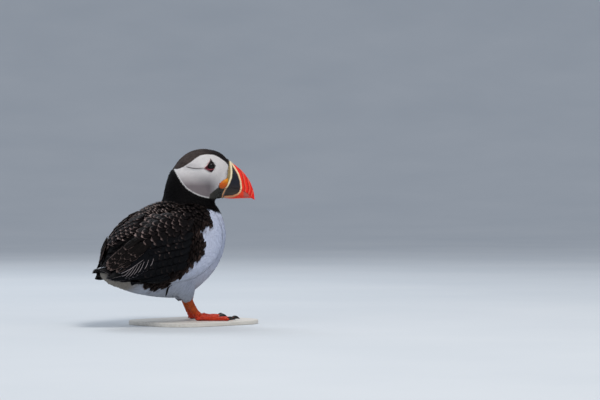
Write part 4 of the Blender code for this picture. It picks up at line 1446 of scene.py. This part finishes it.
def scutes(name, mesh, side):
    """Small overlapping scales down the leg and along the toes."""
    patch = unwrapped(mesh)
    tree = tree_of(mesh)
    points = points_of(mesh)
    roots, picked, weights = scatter(points, triangles_of(mesh), np.zeros(len(points), int), [SCUTE_GAP])
    normals = np.array([mesh.polygons[i].normal for i in picked])
    colours, claw = leg_colours(roots, side)
    z = body_mm(roots)[:, 2]
    # Down the leg scales point down; on the foot each follows the nearest toe.
    flow = np.tile((0.35, 0.0, -0.94), (len(roots), 1))
    best = np.full(len(roots), 1e9)
    for (spread, _, _), (_, aside, _) in zip(TOES, along_toes(roots, side)):
        nearer = (np.abs(aside) < best) & (z < 5.5)
        best[nearer] = np.abs(aside)[nearer]
        flow[nearer] = np.array(foot_place(side, spread).to_3x3() @ Vector((1, 0, 0)))
    flow = along_surface(flow, normals)
    clear = (claw < 0.5) & ((z > 5) | (normals[:, 2] > -0.2)) & (z > 0.5)
    chosen = np.nonzero(clear)[0]
    count = len(chosen)
    shape = vane_shape(3, 2, 0.75, 0.4, 0.5)
    middles, ups = walked_lines(tree, roots[chosen], flow[chosen], SCUTE_LONG * MM * vary(count, 0.12), shape)
    placed = vanes_on(middles, ups, shape, SCUTE_HALF * MM * vary(count, 0.12), 0.02 * MM,
                      SCUTE_HIGH * MM * vary(count, 0.2), 0.2, SCUTE_THICK * MM)
    tint = colours[chosen] * vary(count, 0.12)[:, None]
    patches = (patch[picked] * weights[:, :, None]).sum(axis=1)[chosen]
    feather_piece(name + "_scutes", placed, shape, tint, patches, LEG_SKIN, "leg_skin")


def leg_piece(side):
    """Bare skin over the leg's and the foot's solids, with its scutes."""
    name = SIDE_NAMES[side]
    parts = ("leg_" + name, "foot_" + name)
    solids = joined_solids(parts, LEG_FORM)
    ankle = foot_place(side) @ Matrix.Translation(Vector(ANKLE) * MM)
    bmesh.ops.create_uvsphere(solids, u_segments=20, v_segments=14, radius=ANKLE_RADIUS * MM, matrix=ankle)
    bone = points_of(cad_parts[parts[0]].data)
    height = bone[:, 2]
    top, foot = (bone[np.abs(height - level) < 1.5 * MM].mean(axis=0)
                 for level in (height.max(), height.min()))
    rise = Vector(unit(top - foot))
    upright = rise.to_track_quat("Z", "Y").to_matrix().to_4x4()
    knee = Matrix.Translation(Vector(top) + rise * KNEE * MM) @ upright
    bmesh.ops.create_cone(solids, cap_ends=True, segments=20, radius1=LEG_RADIUS * MM,
                          radius2=LEG_RADIUS * MM, depth=(2 * KNEE + 3) * MM, matrix=knee)
    mesh = remeshed(solids, LEG_FORM)
    triangulated(mesh)
    paint(mesh, leg_colours(points_of(mesh), side)[0] * 0.85)
    scutes("leg_" + name, mesh, side)
    piece_of("leg_skin_" + name, mesh, LEG_SKIN, "leg_skin", parts)


def claws(side):
    """A curved black claw at the end of each toe."""
    bm = bmesh.new()
    for spread, length, claw in TOES:
        turn = foot_place(side, spread)
        # Ahead, up and radius down the claw, from inside the toe to the point.
        path = ((length - 1.4, 1.9, 1.25), (length + 0.6, 2.7, 1.45), (length + claw * 0.4, 3.0, 1.15),
                (length + claw * 0.75, 2.1, 0.7), (length + claw, 0.5, 0.12))

        def place(roll, along):
            ahead, up, radius = between(path, along)
            c, s = math.cos(roll * math.tau), math.sin(roll * math.tau)
            return turn @ (Vector((ahead, radius * 0.8 * s, max(up + radius * c, 0.06))) * MM)

        pour(tube(14, 16, place), bm)
    mesh = mesh_from(bm)
    paint(mesh, CLAW_BLACK)
    piece_of("claws_" + SIDE_NAMES[side], mesh, CLAW_HORN, "bill_horn")


def stand():
    """The base keeps its shape and gets its wood."""
    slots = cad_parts["stand_base"].data.materials
    slots.clear()
    slots.append(STAND)


# ---------------------------------------------------------------- studio


def look_towards(eye, goal):
    return (goal - eye).to_track_quat("-Z", "Y").to_euler()


def link(name, data):
    made = bpy.data.objects.new(name, data)
    bpy.context.scene.collection.objects.link(made)
    return made


def area_light(name, place, size, power, colour):
    """A square light at so many metres ahead, towards the camera and up, aimed at the bird."""
    data = bpy.data.lights.new(name, "AREA")
    data.shape = "SQUARE"
    data.size = size
    data.energy = power
    data.color = colour
    bird = BODY_ZERO + Vector((0, 0, 90 * MM))
    lamp = link(name, data)
    lamp.location = bird + HEAD_AHEAD * place[0] - HEAD_SIDE * place[1] + Vector((0, 0, place[2]))
    lamp.rotation_euler = look_towards(lamp.location, bird)


def studio_floor():
    """Level round the bird and rising far out."""
    bm = bmesh.new()
    bmesh.ops.create_grid(bm, x_segments=64, y_segments=64, size=8)
    for vert in bm.verts:
        vert.co.z = 1.5 * (max(vert.co.xy.length - 3.5, 0) / 4.5) ** 2
    floor = mesh_from(bm, "floor")
    floor.polygons.foreach_set("use_smooth", np.ones(len(floor.polygons), dtype=bool))
    # Flat emulsion: no gloss, and a hardly visible drift in tone.
    floor.materials.append(plain_material("matte studio paint", ((0.3, "#cfd4d8"), (0.7, "#d6dadd")), 333.0,
                                          (1, 1, 1), 0.9, 0.0))
    link("floor", floor)


def studio_camera():
    """Level with the bird's breast, across the bill's line."""
    reach = 2.4  # metres from the bird to the camera
    wide = 0.600  # metres that the picture takes in at the bird
    pitch = math.radians(0.4)
    data = bpy.data.cameras.new("camera")
    data.sensor_width = 36
    data.lens = data.sensor_width * reach / wide
    camera = link("camera", data)
    zero = Vector((BODY_ZERO.x, 0, SOLE + 120 * MM))
    middle = zero - HEAD_AHEAD * (6 * MM)
    camera.location = middle - HEAD_SIDE * (reach * math.cos(pitch)) + Vector((0, 0, reach * math.sin(pitch)))
    camera.rotation_euler = look_towards(camera.location, zero + HEAD_AHEAD * (120 * MM))
    bpy.context.scene.camera = camera


def studio():
    """A pale floor, soft lights and the camera."""
    studio_floor()
    world = bpy.data.worlds.new("studio")
    world.use_nodes = True
    sky = world.node_tree.nodes["Background"].inputs
    sky["Color"].default_value = rgba("#c3cad6")
    sky["Strength"].default_value = 0.72
    bpy.context.scene.world = world
    bpy.context.scene.view_settings.view_transform = "Standard"
    area_light("key", (0.5, 1.1, 1.8), 0.7, 25, (1, 0.97, 0.93))
    area_light("fill", (-1.3, 1.0, 0.6), 1.2, 3, (0.88, 0.94, 1))
    area_light("rim", (-0.4, -1.2, 1.3), 0.8, 10, (0.9, 0.95, 1))
    studio_camera()


# ---------------------------------------------------------------- putting it together
small_feathers()
BROAD = vane_shape(8, 4, 0.5, 0.5, 0.12)
LONG = vane_shape(16, 4, 0.55, 0.6, 0.2)
large_feathers("shoulder_shield", scapular_rows(), COVERT, BROAD, MANTLE_BLACK)
large_feathers("far_shoulder", lobe_rows(), COVERT, BROAD, MANTLE_BLACK, sides=(-1,))
large_feathers("wing_coverts", covert_rows(), COVERT, BROAD, SLATE * 0.65)
for side, draw in ((-1, (0, 0)), (1, (9, 9))):
    large_feathers("tertials_" + SIDE_NAMES[side], tertial_rows(draw), TERTIAL, LONG, linear("#100c0b"),
                   sides=(side,))
large_feathers("secondaries", fan_rows(), FLIGHT, LONG, bow=1.0)
large_feathers("secondary_edges", fan_edge_rows(), WHITE_FEATHER, LONG, linear("#8d8383"), bow=1.2,
               thick=SMALL_THICK)
large_feathers("primaries", primary_rows(), FLIGHT, LONG, bow=2.0, loose=0.3, tree=outer_tree,
               left_drawn=(5, 0, 0))
large_feathers("loose_flank_feather", ((-8.6, 37.5, -15.2, 26.6, 1.15, 2.2, 3.2, 0.0),), BLACK_FEATHER, BROAD,
               BLACK, bow=0.9, loose=0.6, tree=outer_tree, sides=(-1,))
tail_feathers()
tail_streak()
mandible("bill_upper", CULMEN, GAPE, 1)
mandible("bill_lower", [(ahead, up + TUCKED) for ahead, up in GAPE], GONYS, -1)
for side in SIDE_NAMES:
    eye("eye_" + SIDE_NAMES[side], side)
    lids("eye_" + SIDE_NAMES[side], side)
    rosette(side)
    crease(side)
    claws(side)
    leg_piece(side)
stand()
studio()
